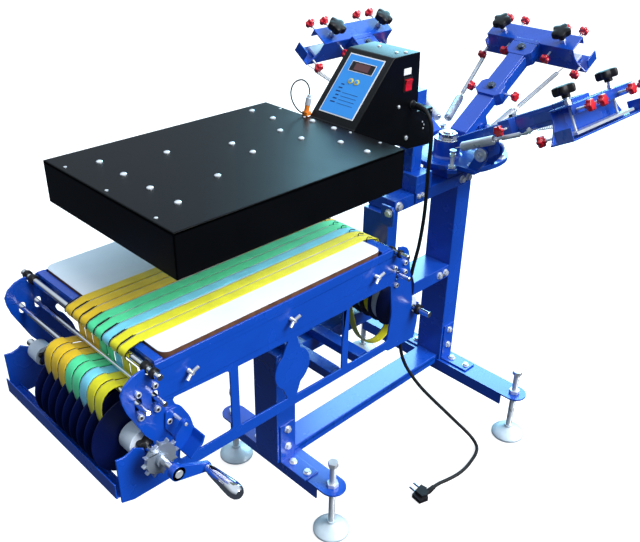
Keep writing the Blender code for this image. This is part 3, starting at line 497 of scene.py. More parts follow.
def rounded(outline, radius, steps=5):
    """The outline with its corners rounded."""
    made = []
    count = len(outline)
    for i, corner in enumerate(outline):
        here = Vector(corner)
        before = Vector(outline[i - 1]) - here
        after = Vector(outline[(i + 1) % count]) - here
        cut = min(radius, before.length / 2.2, after.length / 2.2)
        a = here + before.normalized() * cut
        b = here + after.normalized() * cut
        for k in range(steps + 1):
            t = k / steps
            made.append(tuple(a * (1 - t) ** 2 + here * (2 * t * (1 - t)) + b * t ** 2))
    return made


def slotted(x, low, high, radius=0.0068):
    return arc((x, high), radius, 10, 0, 180) + arc((x, low), radius, 10, 180, 360)


def plate_windows():
    boss = (0.811, 0.563)
    lobe = [(0.54, 0.64), (0.545, 0.624), (0.555, 0.616), (0.571, 0.586), (0.578, 0.558), (0.567, 0.539)]
    first = rounded([(0.5435, 0.5), (0.661, 0.5), (0.661, 0.635), *lobe, (0.547, 0.528)], 0.01)
    last = rounded([(0.966, 0.493), (1.09, 0.493), (1.1, 0.56), (1.09, 0.637), (0.966, 0.636)], 0.01)
    left = [(0.68, 0.5), (0.797, 0.497), *arc(boss, 0.045, 18, 236, 124), (0.7995, 0.6312), (0.68, 0.634)]
    right = [(0.822, 0.495), (0.948, 0.493), (0.9482, 0.6323), (0.8235, 0.6301)]
    right += arc(boss, 0.045, 18, 62, -62)
    slots = [slotted(x, 0.655, 0.665) for x in (FRONT_INNER[0], FRONT_OUTER[0])]
    return [first, left, right, last, *slots, slotted(REAR_LOW[0], 0.65, 0.66)]


def side_plate(node, side):
    sheet = prism(plate_outline(), "y", *span(side, PLATE_IN, PLATE_OUT), plate_windows())
    piece(f"{node}_sheet", "stand", BLUE, [sheet], 0.001, node)
    inner, outer = FRONT_INNER[0], FRONT_OUTER[0]
    centers = ((inner, 0.684), (inner, 0.636), (outer, 0.682), (outer, 0.636), (0.528, 0.6), (1.098, 0.676),
               (1.106, 0.632), (1.131, 0.677), (1.132, 0.655))
    cap = [(0.0056, 0.201), (0.0056, 0.2066), (0.0046, 0.2076), (0.0032, 0.207)]
    bolts = [turned([(r, side * y) for r, y in cap], "y", center, 24) for center in centers]
    # Dark hexagons in the bolt heads: painted shade in their sockets.
    socket_shade = [prism(ring(center, 0.003, 6), "y", *span(side, 0.2068, 0.2073)) for center in centers]
    piece(f"{node}_sockets", "stand", DARK, socket_shade, 0)
    for x in (0.575, 0.805, 1.038):
        bolts.append(thread("y", (x, 0.68), 0.0045, *span(side, PLATE_OUT, PLATE_OUT + 0.014)))
        for turn in (35, 215):
            tip = arc((x, 0.68), 0.015, 1, turn, turn)[0]
            middle = (PLATE_OUT + 0.01) * side
            bolts.append(bar((x, middle, 0.68), (tip[0], middle + side * 0.004, tip[1]), 0.0032))
    piece(f"{node}_bolts", "stand", ZINC, bolts, 0.0005)


def rounded_rectangle(x0, x1, y0, y1, radius, steps=10):
    corners = ((x1, y1, 0), (x0, y1, 90), (x0, y0, 180), (x1, y0, 270))
    outline = []
    for x, y, turn in corners:
        center = (min(max(x, x0 + radius), x1 - radius), min(max(y, y0 + radius), y1 - radius))
        outline += arc(center, radius, steps, turn, turn + 90)
    return outline


def guide_bar(node, x0, x1, lip, wire):
    """An angle, and a thin dark tube bent along the ribbon path between each ribbon and the next."""
    steel = [box(x0, x1, -BED, BED, 0.7165, 0.724), box(*lip, -BED, BED, 0.69, 0.72)]
    piece(f"{node}_angle", "stand", BLUE, steel, 0.0008, node)
    lanes = [LANE_START + LANE * number for number in range(LINES)]
    wires = [tube([(x, y, z) for x, z in wire], 0.001, 8) for y in lanes]
    piece(f"{node}_wires", "stand", DARK, wires, 0)


def bed():
    plan = rounded_rectangle(0.533, 1.06, -BED, BED, 0.018)
    piece("pallet_core", "stand", BOARD, [prism(plan, "z", 0.712, 0.7283)], 0.0006, "pallet")
    piece("pallet_face", "stand", WHITE, [prism(plan, "z", 0.7283, 0.73)], 0.0006)
    comb = [*arc(FRONT_TOP, 0.0108, 6, 196, 110), (0.503, 0.7268), (0.515, 0.7296), (0.527, 0.7322)]
    guide_bar("guide_bar_front", 0.516, 0.5322, (0.528, 0.5322), comb)
    # A navy sheet under the pallet's front edge: painted shade, a shaded copy of the blue paint that makes
    # the gaps between the ribbons dark.
    shade_sheet = box(0.5335, 0.535, -0.195, 0.195, 0.66, 0.711)
    piece("pallet_shade_sheet", "stand", NAVY, [shade_sheet], 0.0004, slot="blue_paint")
    comb = [(1.07, 0.725), (1.0704, 0.734), (1.074, 0.7352), (1.086, 0.73)]
    guide_bar("guide_bar_rear", 1.0608, 1.089, (1.0608, 1.065), comb)
    tray = [(0.444, 0.5), (0.4415, 0.5), (0.4415, 0.4945), (0.4205, 0.4945), (0.4205, 0.523), (0.418, 0.523)]
    tray += [(0.418, 0.492), (0.444, 0.492)]
    piece("tray_strip", "stand", BLUE, [prism(tray, "y", -BED, BED)], 0.0007, "tray_bar")


# ---- Rollers, unwinder and take-up ----
def roller(place, center, radius, reach, collar=0):
    node, body = f"roller_{place}", f"{place}_roller"
    edge = mirrored([(radius - 0.0008, -reach), (radius, -reach + 0.0008)])
    piece(f"{node}_shaft", body, CHROME, [turned(edge, "y", center, 32)], 0, node)
    if not collar:
        return
    spans = ((0.2095, 0.2165), (0.185, 0.196))
    collars = [rod("y", center, collar, *span(side, *ends)) for ends in spans for side in SIDES]
    piece(f"{node}_collars", body, DARK, collars)


def discs(node, body, center, radius):
    shapes = [rod("y", center, 0.013, -0.165, 0.15)]
    for number in range(LINES):
        y = LANE_START + LANE * number
        edge = [(radius - 0.0008, y - 0.00125), (radius, y), (radius - 0.0008, y + 0.00125)]
        shapes += [turned(edge, "y", center, 64), rod("y", center, 0.016, y + 0.001, y + 0.006)]
    piece(f"{node}_discs", body, NAVY, shapes, 0, node)


def unwinder():
    discs("unwind_spool", "unwinder", UNWIND, 0.075)
    piece("unwind_shaft", "unwinder", CHROME, [rod("y", UNWIND, 0.0075, -0.272, 0.222, 32)], 0.001)
    drums = [rod("y", UNWIND, 0.0275, -0.186, -0.152, 48), rod("y", UNWIND, 0.021, 0.156, 0.19, 48)]
    piece("unwind_drums", "unwinder", DRUM, drums, 0.0015)
    spans = ((-0.197, -0.186), (0.1485, 0.156))
    grips = [turned([(0.015, low), (0.015, high)], "y", UNWIND, 40, 5, 0.22) for low, high in spans]
    piece("unwind_grips", "unwinder", DARK, grips, 0.0012)
    teeth = []
    for number in range(12):
        start = 30 * number
        teeth += [arc(UNWIND, 0.035, 1, start, start)[0], arc(UNWIND, 0.034, 1, start + 3, start)[0]]
        teeth += arc(UNWIND, 0.0285, 3, start + 6, start + 26)
    wheel = prism(teeth, "y", -0.238, -0.23, [ring(UNWIND, 0.0079, 24)])
    boss = rod("y", UNWIND, 0.0125, -0.244, -0.238)
    piece("ratchet_disc", "unwinder", IRON, [wheel, boss], 0.0006, "ratchet_wheel")
    lean = degrees(atan2(HANDLE[1] - UNWIND[1], HANDLE[0] - UNWIND[0]))
    arm = arc(UNWIND, 0.014, 20, lean + 90, lean + 270) + arc(HANDLE, 0.009, 14, lean - 90, lean + 90)
    lever = [prism(arm, "y", -0.286, -0.278), rod("y", UNWIND, 0.0135, -0.286, -0.2723)]
    piece("crank_lever", "unwinder", BLUE, lever, 0.001, "crank_arm")
    caps = [rod("y", UNWIND, 0.0075, -0.2875, -0.28), rod("y", HANDLE, 0.005, -0.2862, -0.278)]
    piece("crank_caps", "unwinder", ZINC, caps)
    grip = [(0.006, -0.2863), (0.0075, -0.288), (0.007, -0.292), (0.0085, -0.298), (0.0098, -0.31)]
    grip += [(0.011, -0.325), (0.0125, -0.34), (0.0135, -0.352), (0.0133, -0.359), (0.0118, -0.3655)]
    grip += [(0.0085, -0.3702), (0.004, -0.3718), (0, -0.372)]
    piece("crank_knob", "crank_grip", CHROME, [turned(grip, "y", HANDLE, 48)], 0, "crank_handle")
    bracket = [(0.519, 0.588), (0.522, 0.622), (0.546, 0.622), (0.577, 0.559), (0.571, 0.544), (0.545, 0.524)]
    bracket += [(0.532, 0.54), (0.536, 0.56)]
    plate = prism(rounded(bracket, 0.005), "y", -0.206, -0.2024)
    edge = [(0.545, 0.524), (0.571, 0.544), (0.577, 0.559), (0.5735, 0.5605), (0.568, 0.547), (0.543, 0.5275)]
    shelf = prism(rounded(edge, 0.003), "y", -0.236, -0.205)
    piece("ratchet_plate", "stand", BLUE, [plate, shelf], 0.0008, "ratchet_bracket")
    piece("pawl_pin", "stand", ZINC, [rod("y", PAWL_PIN, 0.003, -0.24, -0.205)], 0.0005)
    pawl = [*arc(PAWL_PIN, 0.0075, 16, -40, 170), (0.5195, 0.5985), (0.5165, 0.5925), (0.516, 0.589)]
    lever = prism([*pawl, (0.5215, 0.593)], "y", -0.2385, -0.2295, [ring(PAWL_PIN, 0.0034, 16)])
    piece("pawl_lever", "pawl", BLUE, [lever], 0.0008, "pawl")


def take_up():
    discs("takeup_spool", "take_up", TAKE_UP, 0.066)
    piece("takeup_shaft", "take_up", CHROME, [rod("y", TAKE_UP, 0.007, -0.245, 0.222, 32)], 0.001)
    drums = [rod("y", TAKE_UP, 0.022, -0.19, -0.166, 40), rod("y", TAKE_UP, 0.03, 0.155, 0.19, 48)]
    piece("takeup_drums", "take_up", DRUM, drums, 0.0015)
    piece("takeup_collar", "take_up", DARK, [rod("y", TAKE_UP, 0.012, -0.218, -0.209)])
    for number, color in enumerate(("white", *RIBBON_COLORS[1:])):
        low = LANE_START + LANE * number + 0.0022
        high = low + LANE - 0.0044
        size = 0.058 - 0.0015 * (number % 3)
        edge = [(size - 0.001, low), (size, low + 0.003), (size, high - 0.003), (size - 0.001, high)]
        finish = RIBBONS.get(color, DRUM)
        piece(f"wound_reel_{number + 1}", "take_up", finish, [turned(edge, "y", TAKE_UP, 64)], 0)


# ---- Ribbons ----
def strip(name, slot, path, low, high, seed=0, stands_for=None):
    """A woven ribbon along (x, z) points, with edges and a lie that differ a little from one to the next."""
    across = 6
    width = high - low
    points, faces = [], []
    length = 0.0
    for i, (x, z) in enumerate(path):
        before, after = Vector(path[max(i - 1, 0)]), Vector(path[min(i + 1, len(path) - 1)])
        way = (after - before).normalized()
        if i:
            length += (Vector((x, z)) - Vector(path[i - 1])).length
        for k in range(across + 1):
            t = k / across - 0.5
            lift = 0.001 * t * t + 0.0002 * sin(90 * length + 4 * t + seed)
            sway = 0.0006 * sin(2.1 * seed) * sin(12 * length)
            points.append((x - way.y * lift, low + width * (t + 0.5) + sway, z + way.x * lift))
    for i in range(len(path) - 1):
        for k in range(across):
            a = i * (across + 1) + k
            faces.append((a, a + 1, a + across + 2, a + across + 1))
    made = piece(name, "stand", RIBBONS[slot], [(points, faces)], 0, stands_for, slot=f"ribbon_{slot}")
    made.data.shade_smooth()
    skin = made.modifiers.new("thickness", "SOLIDIFY")
    skin.thickness = 0.0005
    skin.offset = 0.0


def ribbons():
    path = [(0.445, 0.595), (0.4425, 0.608), (0.441, 0.621), (0.4415, 0.635), (0.444, 0.648), (0.4495, 0.658)]
    path += [(0.458, 0.6645), (0.468, 0.6668), *arc(FRONT_OUTER, 0.006, 6, 90, 20)]
    path += [*arc(FRONT_INNER, 0.0062, 10, 215, 380), (0.514, 0.685), (0.4995, 0.704)]
    top = 0.7312   # over the pallet
    path += [*arc(FRONT_TOP, 0.01, 8, 180, 96), (0.52, 0.729), (0.531, top)]
    path += [(0.531 + 0.022 * i, top) for i in range(1, 24)]
    path += [(1.062, top), (1.088, 0.726), *arc(REAR_TOP, 0.0094, 8, 88, 10), (1.121, 0.67), (1.129, 0.615)]
    for number, color in enumerate(RIBBON_COLORS):
        near = LANE_START + LANE * number + 0.0011
        stands_for = None if color in RIBBON_COLORS[:number] else f"ribbon_{color}"
        strip(f"ribbon_{number + 1}", color, path, near, near + LANE - 0.0022,
              number, stands_for)
    loose = [(1.058, 0.6), (1.064, 0.56), (1.076, 0.515), (1.092, 0.475), (1.116, 0.44), (1.15, 0.42)]
    loose += [(1.182, 0.42), (1.204, 0.44), (1.212, 0.475)]
    drop = [(point.x, point.z) for point in smooth_route([(x, 0, z) for x, z in loose], 0.006)]
    strip("loose_ribbon", "yellow", drop, -0.118, -0.097, 3)


# ---- Flash dryer ----
def dryer():
    low, high = 0.853, 0.935
    walls = [box(0.568, 1.103, -DRYER, DRYER, high - 0.006, high)]
    walls += [box(*ends, -DRYER, DRYER, low, high) for ends in ((0.568, 0.572), (1.099, 1.103))]
    walls += [box(0.568, 1.103, *span(side, 0.1995, DRYER), low, high) for side in SIDES]
    piece("dryer_cover", "dryer", BLACK, walls, 0.0016, "dryer_housing")
    rows = [-0.16 + 0.04 * row for row in range(9)]
    heater = [box(0.6, 1.07, y - 0.012, y + 0.012, 0.881, 0.886) for y in rows]
    heater = [box(0.59, 1.08, -0.182, 0.182, 0.885, 0.893), *heater]
    piece("heater_panel", "dryer", DRUM, heater, 0.0015)
    large = ((0.638, 0.125), (0.638, 0.045), (0.638, -0.037), (0.638, -0.117), (0.755, 0.084), (0.755, -0.07),
             (0.875, 0.04), (0.875, -0.022), (1.036, 0.172), (1.036, 0.104), (0.995, 0.035), (0.995, -0.028),
             (1.086, 0.035), (1.086, -0.028), (1.037, -0.095), (1.037, -0.165))
    small = ((0.581, 0.145), (0.58, 0.004), (0.58, -0.141), (1.093, 0.144), (1.093, 0.067), (1.094, -0.067),
             (1.093, -0.148))
    dome = [(0.0062, high - 0.001), (0.006, high + 0.002), (0.004, high + 0.0036), (0, high + 0.0042)]
    screws = [turned(dome, "z", center, 24) for center in large]
    dome = [(0.0035, high - 0.001), (0.003, high + 0.001), (0, high + 0.0018)]
    screws += [turned(dome, "z", center, 16) for center in small]
    piece("dryer_screws", "dryer", ZINC, screws, 0)


def control_box():
    section = [(1.1033, 0.9353), (1.108, 0.9353), (1.112, 0.941), (1.219, 1.061), (1.224, 1.063)]
    section += [(1.305, 1.063), (1.31, 0.932), (1.3646, 0.932), (1.3646, 0.845), (1.283, 0.852)]
    section += [(1.25, 0.87), (1.1033, 0.87)]
    piece("control_case", "dryer", BLACK, [prism(section, "y", -0.065, 0.065)], 0.0016, "control_box")
    low, high = Vector((1.112, 0.941)), Vector((1.219, 1.061))
    along = (high - low).normalized()
    out = Vector((-along.y, along.x))

    def film(name, material, boxes, height, bevel=0.0003, **more):
        """Flat pieces on the slope: (start and end along it, low and high across it)."""
        shapes = []
        for a, b, y0, y1 in boxes:
            ends = ((a, 0.0002), (b, 0.0002), (b, height), (a, height))
            shapes.append(prism([tuple(low + along * t + out * h) for t, h in ends], "y", y0, y1))
        piece(name, "dryer", material, shapes, bevel, **more)

    film("panel_border", LABEL, [(0.01, 0.152, -0.049, 0.049)], 0.0012, slot="panel_film",
         stands_for="control_panel")
    film("panel_sheet", FILM, [(0.0125, 0.1495, -0.0465, 0.0465)], 0.0016, 0.0002, slot="panel_film")
    film("display_frame", LABEL, [(0.112, 0.1365, -0.036, 0.032)], 0.0019)
    film("display_bezel", DARK, [(0.1135, 0.135, -0.0345, 0.0305)], 0.0022)
    film("display", GLASS, [(0.116, 0.1325, -0.022, 0.019)], 0.0025)
    bars = []
    for row in range(6):
        a = 0.036 + 0.0085 * row
        bars.append((a, a + 0.0026, 0.02, 0.033 - 0.002 * (row % 3)))
        if row < 4:
            bars.append((a, a + 0.001, -0.03, 0.014))
    film("panel_marks", PRINT, bars, 0.0018, 0.0)
    rings, caps = [], []
    at = low + along * 0.0905
    for y in (-0.0085, 0.0085):
        turn = Matrix.Translation((at.x, y, at.y)) @ Matrix.Rotation(atan2(out.x, out.y), 4, "Y")
        edge = [(0.0064, 0.001), (0.0064, 0.0026), (0.0054, 0.003)]
        rings.append(moved(turned(edge, "z", (0, 0), 24), turn))
        edge = [(0.004, 0.0026), (0.0037, 0.0035), (0, 0.0037)]
        caps.append(moved(turned(edge, "z", (0, 0), 24), turn))
    piece("key_rings", "dryer", BUTTON, rings, 0)
    piece("key_caps", "dryer", FILM, caps, 0)
    piece("rating_strip", "dryer", LABEL, [box(1.254, 1.278, -0.0656, -0.065, 1.021, 1.035)], 0.0002)
    bezel = rounded([(1.2545, 0.9835), (1.2835, 0.9835), (1.2835, 1.0165), (1.2545, 1.0165)], 0.002)
    piece("switch_bezel", "dryer", DARK, [prism(bezel, "y", -0.0662, -0.0645)], 0.0004)
    rocker = [(0.001, -0.012), (-0.0065, -0.012), (-0.0052, -0.006), (-0.0045, 0.0), (-0.0052, 0.006)]
    rocker += [(-0.0065, 0.012), (0.001, 0.012)]
    pressed = Matrix.Translation((1.269, -0.064, 1.0)) @ Matrix.Rotation(radians(6), 4, "X")
    key = moved(prism(rocker, "x", -0.0105, 0.0105), pressed)
    piece("switch_key", "rocker", RED, [key], 0.0008, "rocker_switch")
    relief = [(0.0105, -0.064), (0.0105, -0.068), (0.0088, -0.069), (0.008, -0.074), (0.007, -0.078)]
    piece("cord_gland", "dryer", DARK, [turned(relief, "y", (1.289, 0.952), 32)], 0.0006)
    studs = []
    for center, radius in (((1.244, 0.956), 0.0042), ((1.276, 0.88), 0.0055)):
        dome = [(radius, -0.064), (radius * 0.9, -0.0668), (radius * 0.5, -0.068), (0, -0.0682)]
        studs.append(turned(dome, "y", center, 20))
    dome = [(0.0045, 1.0625), (0.004, 1.065), (0.002, 1.066), (0, 1.0662)]
    studs += [turned(dome, "z", center, 20) for center in ((1.274, 0.024), (1.258, -0.038), (1.274, -0.05))]
    small = ((1.33, 0.905), (1.336, 0.897), (1.334, 0.889), (1.3585, 0.925), (1.3585, 0.9))
    studs += [rod("y", center, 0.002, -0.0662, -0.064, 12) for center in small]
    piece("case_screws", "dryer", ZINC, studs, 0.0003)


def sensor():
    """The ribbon sensor beside the control box, with its short looped lead."""
    neck, tip = (1.108, 0.073, 0.956), (1.112, 0.073, 0.972)
    shapes = [bar((1.104, 0.073, 0.94), neck, 0.0055), box(1.098, 1.112, 0.0653, 0.08, 0.9355, 0.944)]
    piece("sensor_body", "dryer", AMBER, shapes)
    piece("sensor_cap", "dryer", ZINC, [bar(neck, tip, 0.0062), bar(tip, (1.113, 0.073, 0.978), 0.004)])
    loop = [(1.113, 0.073, 0.978), (1.114, 0.074, 0.99), (1.11, 0.078, 1.003), (1.1, 0.084, 1.01)]
    loop += [(1.086, 0.09, 1.005), (1.078, 0.092, 0.99), (1.078, 0.09, 0.972), (1.084, 0.085, 0.955)]
    loop += [(1.093, 0.079, 0.943), (1.101, 0.074, 0.939)]
    line = smooth_route(loop, 0.003)
    lead = piece("sensor_lead", "dryer", RUBBER, [tube(line, 0.0016, 10)], 0)


def mast():
    steel = [box(1.365, 1.401, -0.018, 0.018, 0.76, 0.955)]
    steel.append(box(1.352, 1.412, -0.0455, 0.0455, 0.7168, 0.7605))
    bolts = []
    for side in SIDES:
        steel.append(box(1.355, 1.387, *span(side, 0.042, 0.0462), 0.69, 0.74))
        for x in (1.364, 1.378):
            bolts += bolt((x, 0.708), "y", 0.005, side * 0.0462, side * 0.0515)
    piece("mast_tube", "stand", BLUE, steel, 0.0015, "dryer_mast")
    piece("mast_bolts", "stand", ZINC, bolts, 0.0004)


# ---- Turntable and print heads ----
def about_hub(direction):
    return Matrix.Translation(HUB) @ Matrix.Rotation(radians(direction), 4, "Z")


def hub():
    edge = [(1.45, 0.0), (1.518, -0.091), (1.545, -0.104), (1.6, -0.11), (1.645, -0.103), (1.675, -0.087)]
    edge += [(1.7, -0.055), (1.71, 0.0)]
    edge += [(x, -y) for x, y in edge[-2:0:-1]]
    plate = [prism(rounded(edge, 0.02), "z", 0.738, 0.75), box(1.484, 1.588, -0.04, 0.04, 0.7168, 0.739)]
    piece("bearing_plate", "stand", BLUE, plate, 0.0012, "base_plate")
    shapes = [rod("z", HUB.xy, 0.02, 0.7503, 0.8035, 32), rod("z", HUB.xy, 0.034, 0.803, 0.8065, 48)]
    shapes += [prism(ring(HUB.xy, 0.0245, 6), "z", 0.8065, 0.819), rod("z", HUB.xy, 0.0135, 0.806, 0.823, 32)]
    piece("hub_nut", "stand", CHROME, shapes, 0.0012, "hub_bolt")
    near, far = (bolt((1.631, side * 0.09), "z", 0.01, 0.75, 0.761) for side in SIDES)
    piece("bearing_plate_bolts", "stand", ZINC, near + far, 0.0006)


def carousel():
    low, high = 0.7506, 0.762
    sleeve = [(0.082, low), (0.082, high), (0.04, high), (0.034, high + 0.004), (0.034, 0.802)]
    steel = [turned(sleeve, "z", HUB.xy, 64)]
    ear = [(0.088, 0.755), (0.115, 0.755), (0.1415, 0.792), *arc((PIVOT_R, PIVOT_Z), 0.0165, 16, 10, 170)]
    ear.append((0.106, 0.792))
    bolts = []
    for direction, _ in HEADS.values():
        place = about_hub(direction)
        steel.append(moved(box(0.03, 0.117, -0.043, 0.043, low + 0.0002, high - 0.0004), place))
        for side in SIDES:
            steel.append(moved(prism(ear, "y", *span(side, 0.0285, 0.0345)), place))
            heads = bolt((0.09, side * 0.02), "z", 0.0065, high, high + 0.006)
            bolts += [moved(shape, place) for shape in heads]
    at = (0.096, 0)
    for direction in (45, -45, 135, -135):
        place = about_hub(direction)
        steel.append(moved(box(0.05, 0.108, -0.012, 0.012, low + 0.0003, high - 0.0008), place))
        post = [thread("z", at, 0.0055, high, 0.808), prism(ring(at, 0.0095, 6), "z", high, high + 0.007)]
        post += [prism(ring(at, 0.0085, 6), "z", 0.792, 0.798), rod("z", at, 0.0085, 0.805, 0.808)]
        bolts += [moved(shape, place) for shape in post]
    piece("turntable_plate", "carousel", BLUE, steel, 0.0012, "turntable")
    piece("turntable_bolts", "carousel", ZINC, bolts, 0.0005)


def head_frame(head):
    direction, tilt = HEADS[head]
    tilted = Matrix.Rotation(-radians(tilt), 4, "Y")
    return about_hub(direction) @ Matrix.Translation((PIVOT_R, 0, PIVOT_Z)) @ tilted


def on_arm(shapes):
    """Shapes moved from the arm's own lengthwise frame into its head's."""
    return [moved(shape, Matrix.Translation((-0.121, 0, ARM_LIFT))) for shape in shapes]


def head_arm(head, place):
    body = f"head_{head}"
    block = [(-0.016, 0.034), (-0.014, -0.004), (-0.008, -0.013), (0.008, -0.013), (0.014, -0.004)]
    low_plate = mirrored([(0.184, -0.026), (0.194, -0.037), (0.222, -0.037), (0.232, -0.026)])
    top_plate = mirrored([(0.33, -0.024), (0.342, -0.037), (0.373, -0.037)])
    beam = box(0.056, 0.3735, -0.025, 0.025, -0.0125, 0.0125)
    sleeve = box(0.198, 0.372, -0.0225, 0.0225, -0.023, 0.0185)
    plates = [prism(low_plate, "z", -0.02, 0.018), prism(top_plate, "z", -0.02, 0.02)]
    steel = [*on_arm([beam]), prism([*block, (0.02, 0.034)], "y", -0.024, 0.024), *on_arm([sleeve, *plates])]
    piece(f"arm_{head}", body, BLUE, steel, 0.0014, f"head_arm_{head}", place)
    caps = bolt((0.212, 0), "z", 0.0095, 0.018, 0.025) + bolt((0.355, 0), "z", 0.0095, 0.02, 0.027)
    piece(f"arm_{head}_nuts", body, STEEL, on_arm(caps), 0.0006, None, place)
    wheel = [(0.0155, 0.035), (0.016, 0.0356), (0.016, 0.041), (0.0155, 0.0416), (0.012, 0.0416)]
    wheel += [(0.0112, 0.0402), (0.0085, 0.0402), (0.0078, 0.042), (0.004, 0.042)]
    bolts = [rod("y", (0, 0), 0.006, -0.046, 0.046)]
    bolts += [turned([(r, side * y) for r, y in wheel], "y", (0, 0), 40) for side in SIDES]
    bolts += on_arm([thread("y", (0.212, SCREW_Z), SCREW_R, *span(side, 0.03, 0.062)) for side in SIDES])
    red = [small_knob(0.212, SCREW_Z, side * 0.074, side, "y") for side in SIDES]
    piece(f"arm_{head}_red_knobs", body, RED, on_arm(red), 0.0005, None, place)
    piece(f"arm_{head}_bolts", body, ZINC, bolts, 0.0006, None, place)


def small_knob(a, b, tip, out, axis="x"):
    """A red star knob about an axis. tip is its outer face, and out the way that face looks."""
    profile = ((0.005, 0.018), (0.0055, 0.013), (0.01, 0.012), (0.012, 0.009), (0.012, 0.004),
               (0.0105, 0.001), (0.005, 0))
    return turned([(radius, tip - out * back) for radius, back in profile], axis, (a, b), 48, 6, 0.13)


def head_clamp(head, place):
    body = f"head_{head}"
    half_wall = [(0.13, 0.011), (0.13, -0.012), (0.1315, -0.02), (0.134, -0.026), (0.1375, -0.032)]
    half_wall += [(0.142, -0.038), (0.158, -0.058)]
    wall = half_wall + [(-y, z) for y, z in half_wall[::-1]]
    steel = [
        prism(wall, "x", 0.3855, 0.3895),
        box(0.386, 0.437, -0.1297, 0.1297, 0.0075, 0.0114),
        box(0.4334, 0.4367, -0.1294, 0.1294, -0.01, 0.009),
        box(0.3858, 0.44, -0.1577, 0.1577, -0.0583, -0.0545),
        box(0.374, 0.3868, -0.036, 0.036, -0.0195, 0.0193),
        *(box(0.4, 0.4397, *span(side, 0.154, 0.1574), -0.058, -0.03) for side in SIDES),
    ]
    piece(f"clamp_{head}", body, BLUE, on_arm(steel), 0.0012, f"head_clamp_{head}", place)
    screws = [box(0.396, 0.43, -0.122, 0.122, -0.05, -0.044)]
    screws += [thread("z", (KNOB_X, side * KNOB_Y), 0.0035, -0.044, 0.033) for side in SIDES]
    red = []
    for y in (-0.112, -0.062, 0.062, 0.112):
        screws.append(thread("x", (y, SCREW_Z), SCREW_R, 0.42, 0.462))
        red.append(small_knob(y, SCREW_Z, 0.474, 1))
    for y, z in ((-0.062, -0.01), (0.062, -0.01), (-0.142, -0.043), (0.142, -0.043)):
        screws.append(thread("x", (y, z), SCREW_R, 0.36, 0.387))
        red.append(small_knob(y, z, 0.352, -1))
    piece(f"clamp_{head}_screws", body, ZINC, on_arm(screws), 0.0005, None, place)
    piece(f"clamp_{head}_red_knobs", body, RED, on_arm(red), 0.0005, None, place)


def large_knob(head, number, y, place):
    name = f"knob_{head}{number}"
    center = (KNOB_X, y)
    profile = [(0.019, 0.033), (0.0215, 0.036), (0.0222, 0.044), (0.0215, 0.05), (0.018, 0.052)]
    profile.append((0.01, 0.053))
    grip = [turned(profile, "z", center, 60, 5, 0.14), rod("z", center, 0.009, 0.026, 0.034)]
    piece(f"{name}_grip", name, DARK, on_arm(grip), 0.0006, f"clamp_{name}", place)
    nut = [prism(ring(center, 0.0075, 6), "z", 0.0117, 0.02), rod("z", center, 0.0045, 0.0117, 0.027)]
    piece(f"{name}_nut", name, ZINC, on_arm(nut), 0.0005, None, place)


def spring_tab(place):
    """The tab on arm c's side, with the eye bolt that holds the far end of its right spring."""
    x, y = 0.15, -0.042
    shapes = [box(0.141, 0.159, -0.05, -0.021, 0.0212, 0.0242), rod("z", (x, y), 0.0026, 0.0165, 0.031)]
    shapes.append(prism(ring((x, y), 0.0062, 6), "z", 0.024, 0.0285))
    piece("spring_tab_c", "head_c", ZINC, shapes, 0.0004, None, place)


def winding(start, way, length, radius, turns, steps):
    """Points of a close-wound coil along a line, drawn in to the line at both ends."""
    across = way.cross(Vector((0, 0, 1))).normalized()
    over = way.cross(across)
    points = []
    for i in range(turns * steps + 1):
        angle = 2 * pi * i / steps
        reach = radius * min(1.0, min(i, turns * steps - i) / steps)
        outward = across * cos(angle) + over * sin(angle)
        points.append(start + way * (length * i / (turns * steps)) + outward * reach)
    return points


def spring(head, side, letter, end):
    """A thick and a thin close-wound spring hooked in line."""
    top = head_frame(head) @ Vector(end)
    low = about_hub(HEADS[head][0]) @ Vector((0.0715, side * 0.064, 0.813))
    reach = (top - low).length
    way = (top - low).normalized()
    hook = [low + way * t for t in (0.0, 0.008, 0.014)]
    thick = winding(low + way * 0.016, way, 0.09, 0.01, 34, 14)
    loop = winding(low + way * 0.107, way, 0.01, 0.0065, 2, 12)
    thin = winding(low + way * 0.124, way, reach - 0.146, 0.0046, max(8, round(reach * 130)), 8)
    ends = [top - way * t for t in (0.018, 0.01, 0.002)]
    lines = ((hook + thick + [low + way * 0.11], 0.0012), (loop, 0.0016), (thin + ends, 0.0012))
    wires = [tube(line, radius, 6) for line, radius in lines]
    nut = bar(low + way * 0.111, low + way * 0.123, 0.003, 6)
    made = piece(f"spring_{head}{letter}_coil", None, ZINC, [*wires, nut], 0, f"spring_{head}{letter}")
    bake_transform(made)


def print_heads():
    for head in HEADS:
        place = head_frame(head)
        head_arm(head, place)
        head_clamp(head, place)
        large_knob(head, 1, KNOB_Y, place)
        large_knob(head, 2, -KNOB_Y, place)
        if head == "c":
            spring_tab(place)
        spring(head, 1, "l", SPRING_LEFT)
        spring(head, -1, "r", SPRING_RIGHT[head])


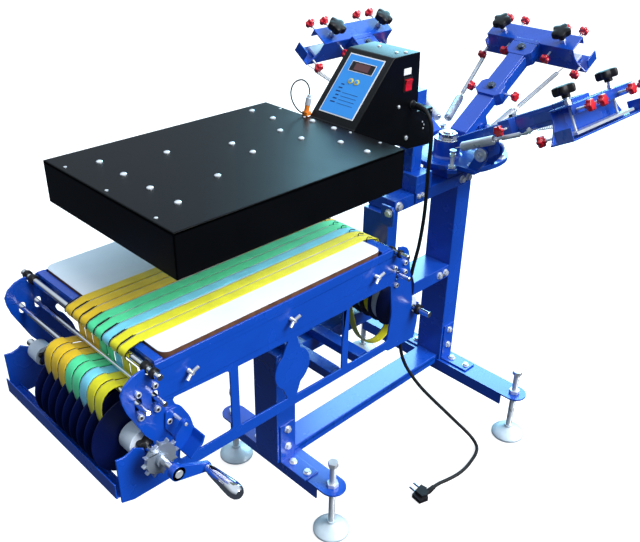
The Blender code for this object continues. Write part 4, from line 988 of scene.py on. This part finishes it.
# ---- Floor and light ----
def stage():
    """A white tent that lights nothing, a sky bright overhead, and a broad key light from the near side."""
    paper = finish_of("floor_paper", (0.4, 0.4, 0.4), 0.9, spread=0.01, grain=40, bump=0.02)
    fill(surface(paper), Emission_Color=(1.0, 1.0, 1.0, 1), Emission_Strength=0.8)
    wall = [(11, -0.0005), (13, 0.6), (13.8, 2.5), (14, 9)]
    tent = piece("floor", None, paper, [turned(wall, "z", (-SHIFT.x, -SHIFT.y), 96)], 0)
    tent.visible_diffuse = tent.visible_glossy = tent.visible_shadow = False
    world = bpy.data.worlds.new("studio")
    world.use_nodes = True
    nodes, links = world.node_tree.nodes, world.node_tree.links
    place, axes, ramp = (nodes.new(f"ShaderNode{kind}") for kind in ("TexCoord", "SeparateXYZ", "ValToRGB"))
    shades = ((0.05, (0.05, 0.06, 0.08, 1)), (0.75, (0.8, 0.92, 1.05, 1)))
    for element, (position, color) in zip(ramp.color_ramp.elements, shades):
        element.position = position
        element.color = color
    links.new(place.outputs["Generated"], axes.inputs["Vector"])
    links.new(axes.outputs["Z"], ramp.inputs["Fac"])
    links.new(ramp.outputs["Color"], nodes["Background"].inputs["Color"])
    bpy.context.scene.world = world
    bpy.context.scene.view_settings.view_transform = "Standard"
    sun = bpy.data.lights.new("key", "SUN")
    sun.energy = 4.2
    sun.angle = radians(35)
    panel = bpy.data.lights.new("rear", "AREA")
    panel.energy = 125
    panel.shape = "RECTANGLE"
    panel.size = 2.2
    panel.size_y = 2.4
    panel.color = (0.32, 0.78, 1.0)
    lights = ((sun, (0.35, -1.0, 0.95), (0, 0, 0)), (panel, (2.75, 1.35, 1.75), (0.2, -0.1, 0.4)))
    for light, place, aim in lights:
        made = placed(light.name, light)
        made.location = place
        made.rotation_euler = (Vector(aim) - Vector(place)).to_track_quat("-Z", "Y").to_euler()


camera()
cord()
CHANNELS = (("front", 0.955, 0.18), ("rear", 1.56, 0.277))
for end, x, reach in CHANNELS:
    foot_channel(f"foot_channel_{end}", x, reach)
for end, x, reach in CHANNELS:
    level_foot(f"level_foot_{end[0]}r", f"foot_{end}_near", x, -reach)
    level_foot(f"level_foot_{end[0]}l", f"foot_{end}_far", x, reach)
frame_tubes()
side_plate("side_plate_near", -1)
side_plate("side_plate_far", 1)
bed()
roller("front_top", FRONT_TOP, 0.006, 0.23, 0.0095)
roller("front_inner", FRONT_INNER, 0.005, 0.23)
roller("front_outer", FRONT_OUTER, 0.005, 0.23)
roller("rear_top", REAR_TOP, 0.0055, 0.236, 0.0085)
roller("rear_low", REAR_LOW, 0.005, 0.234)
unwinder()
take_up()
ribbons()
dryer()
control_box()
sensor()
mast()
hub()
carousel()
print_heads()
stage()
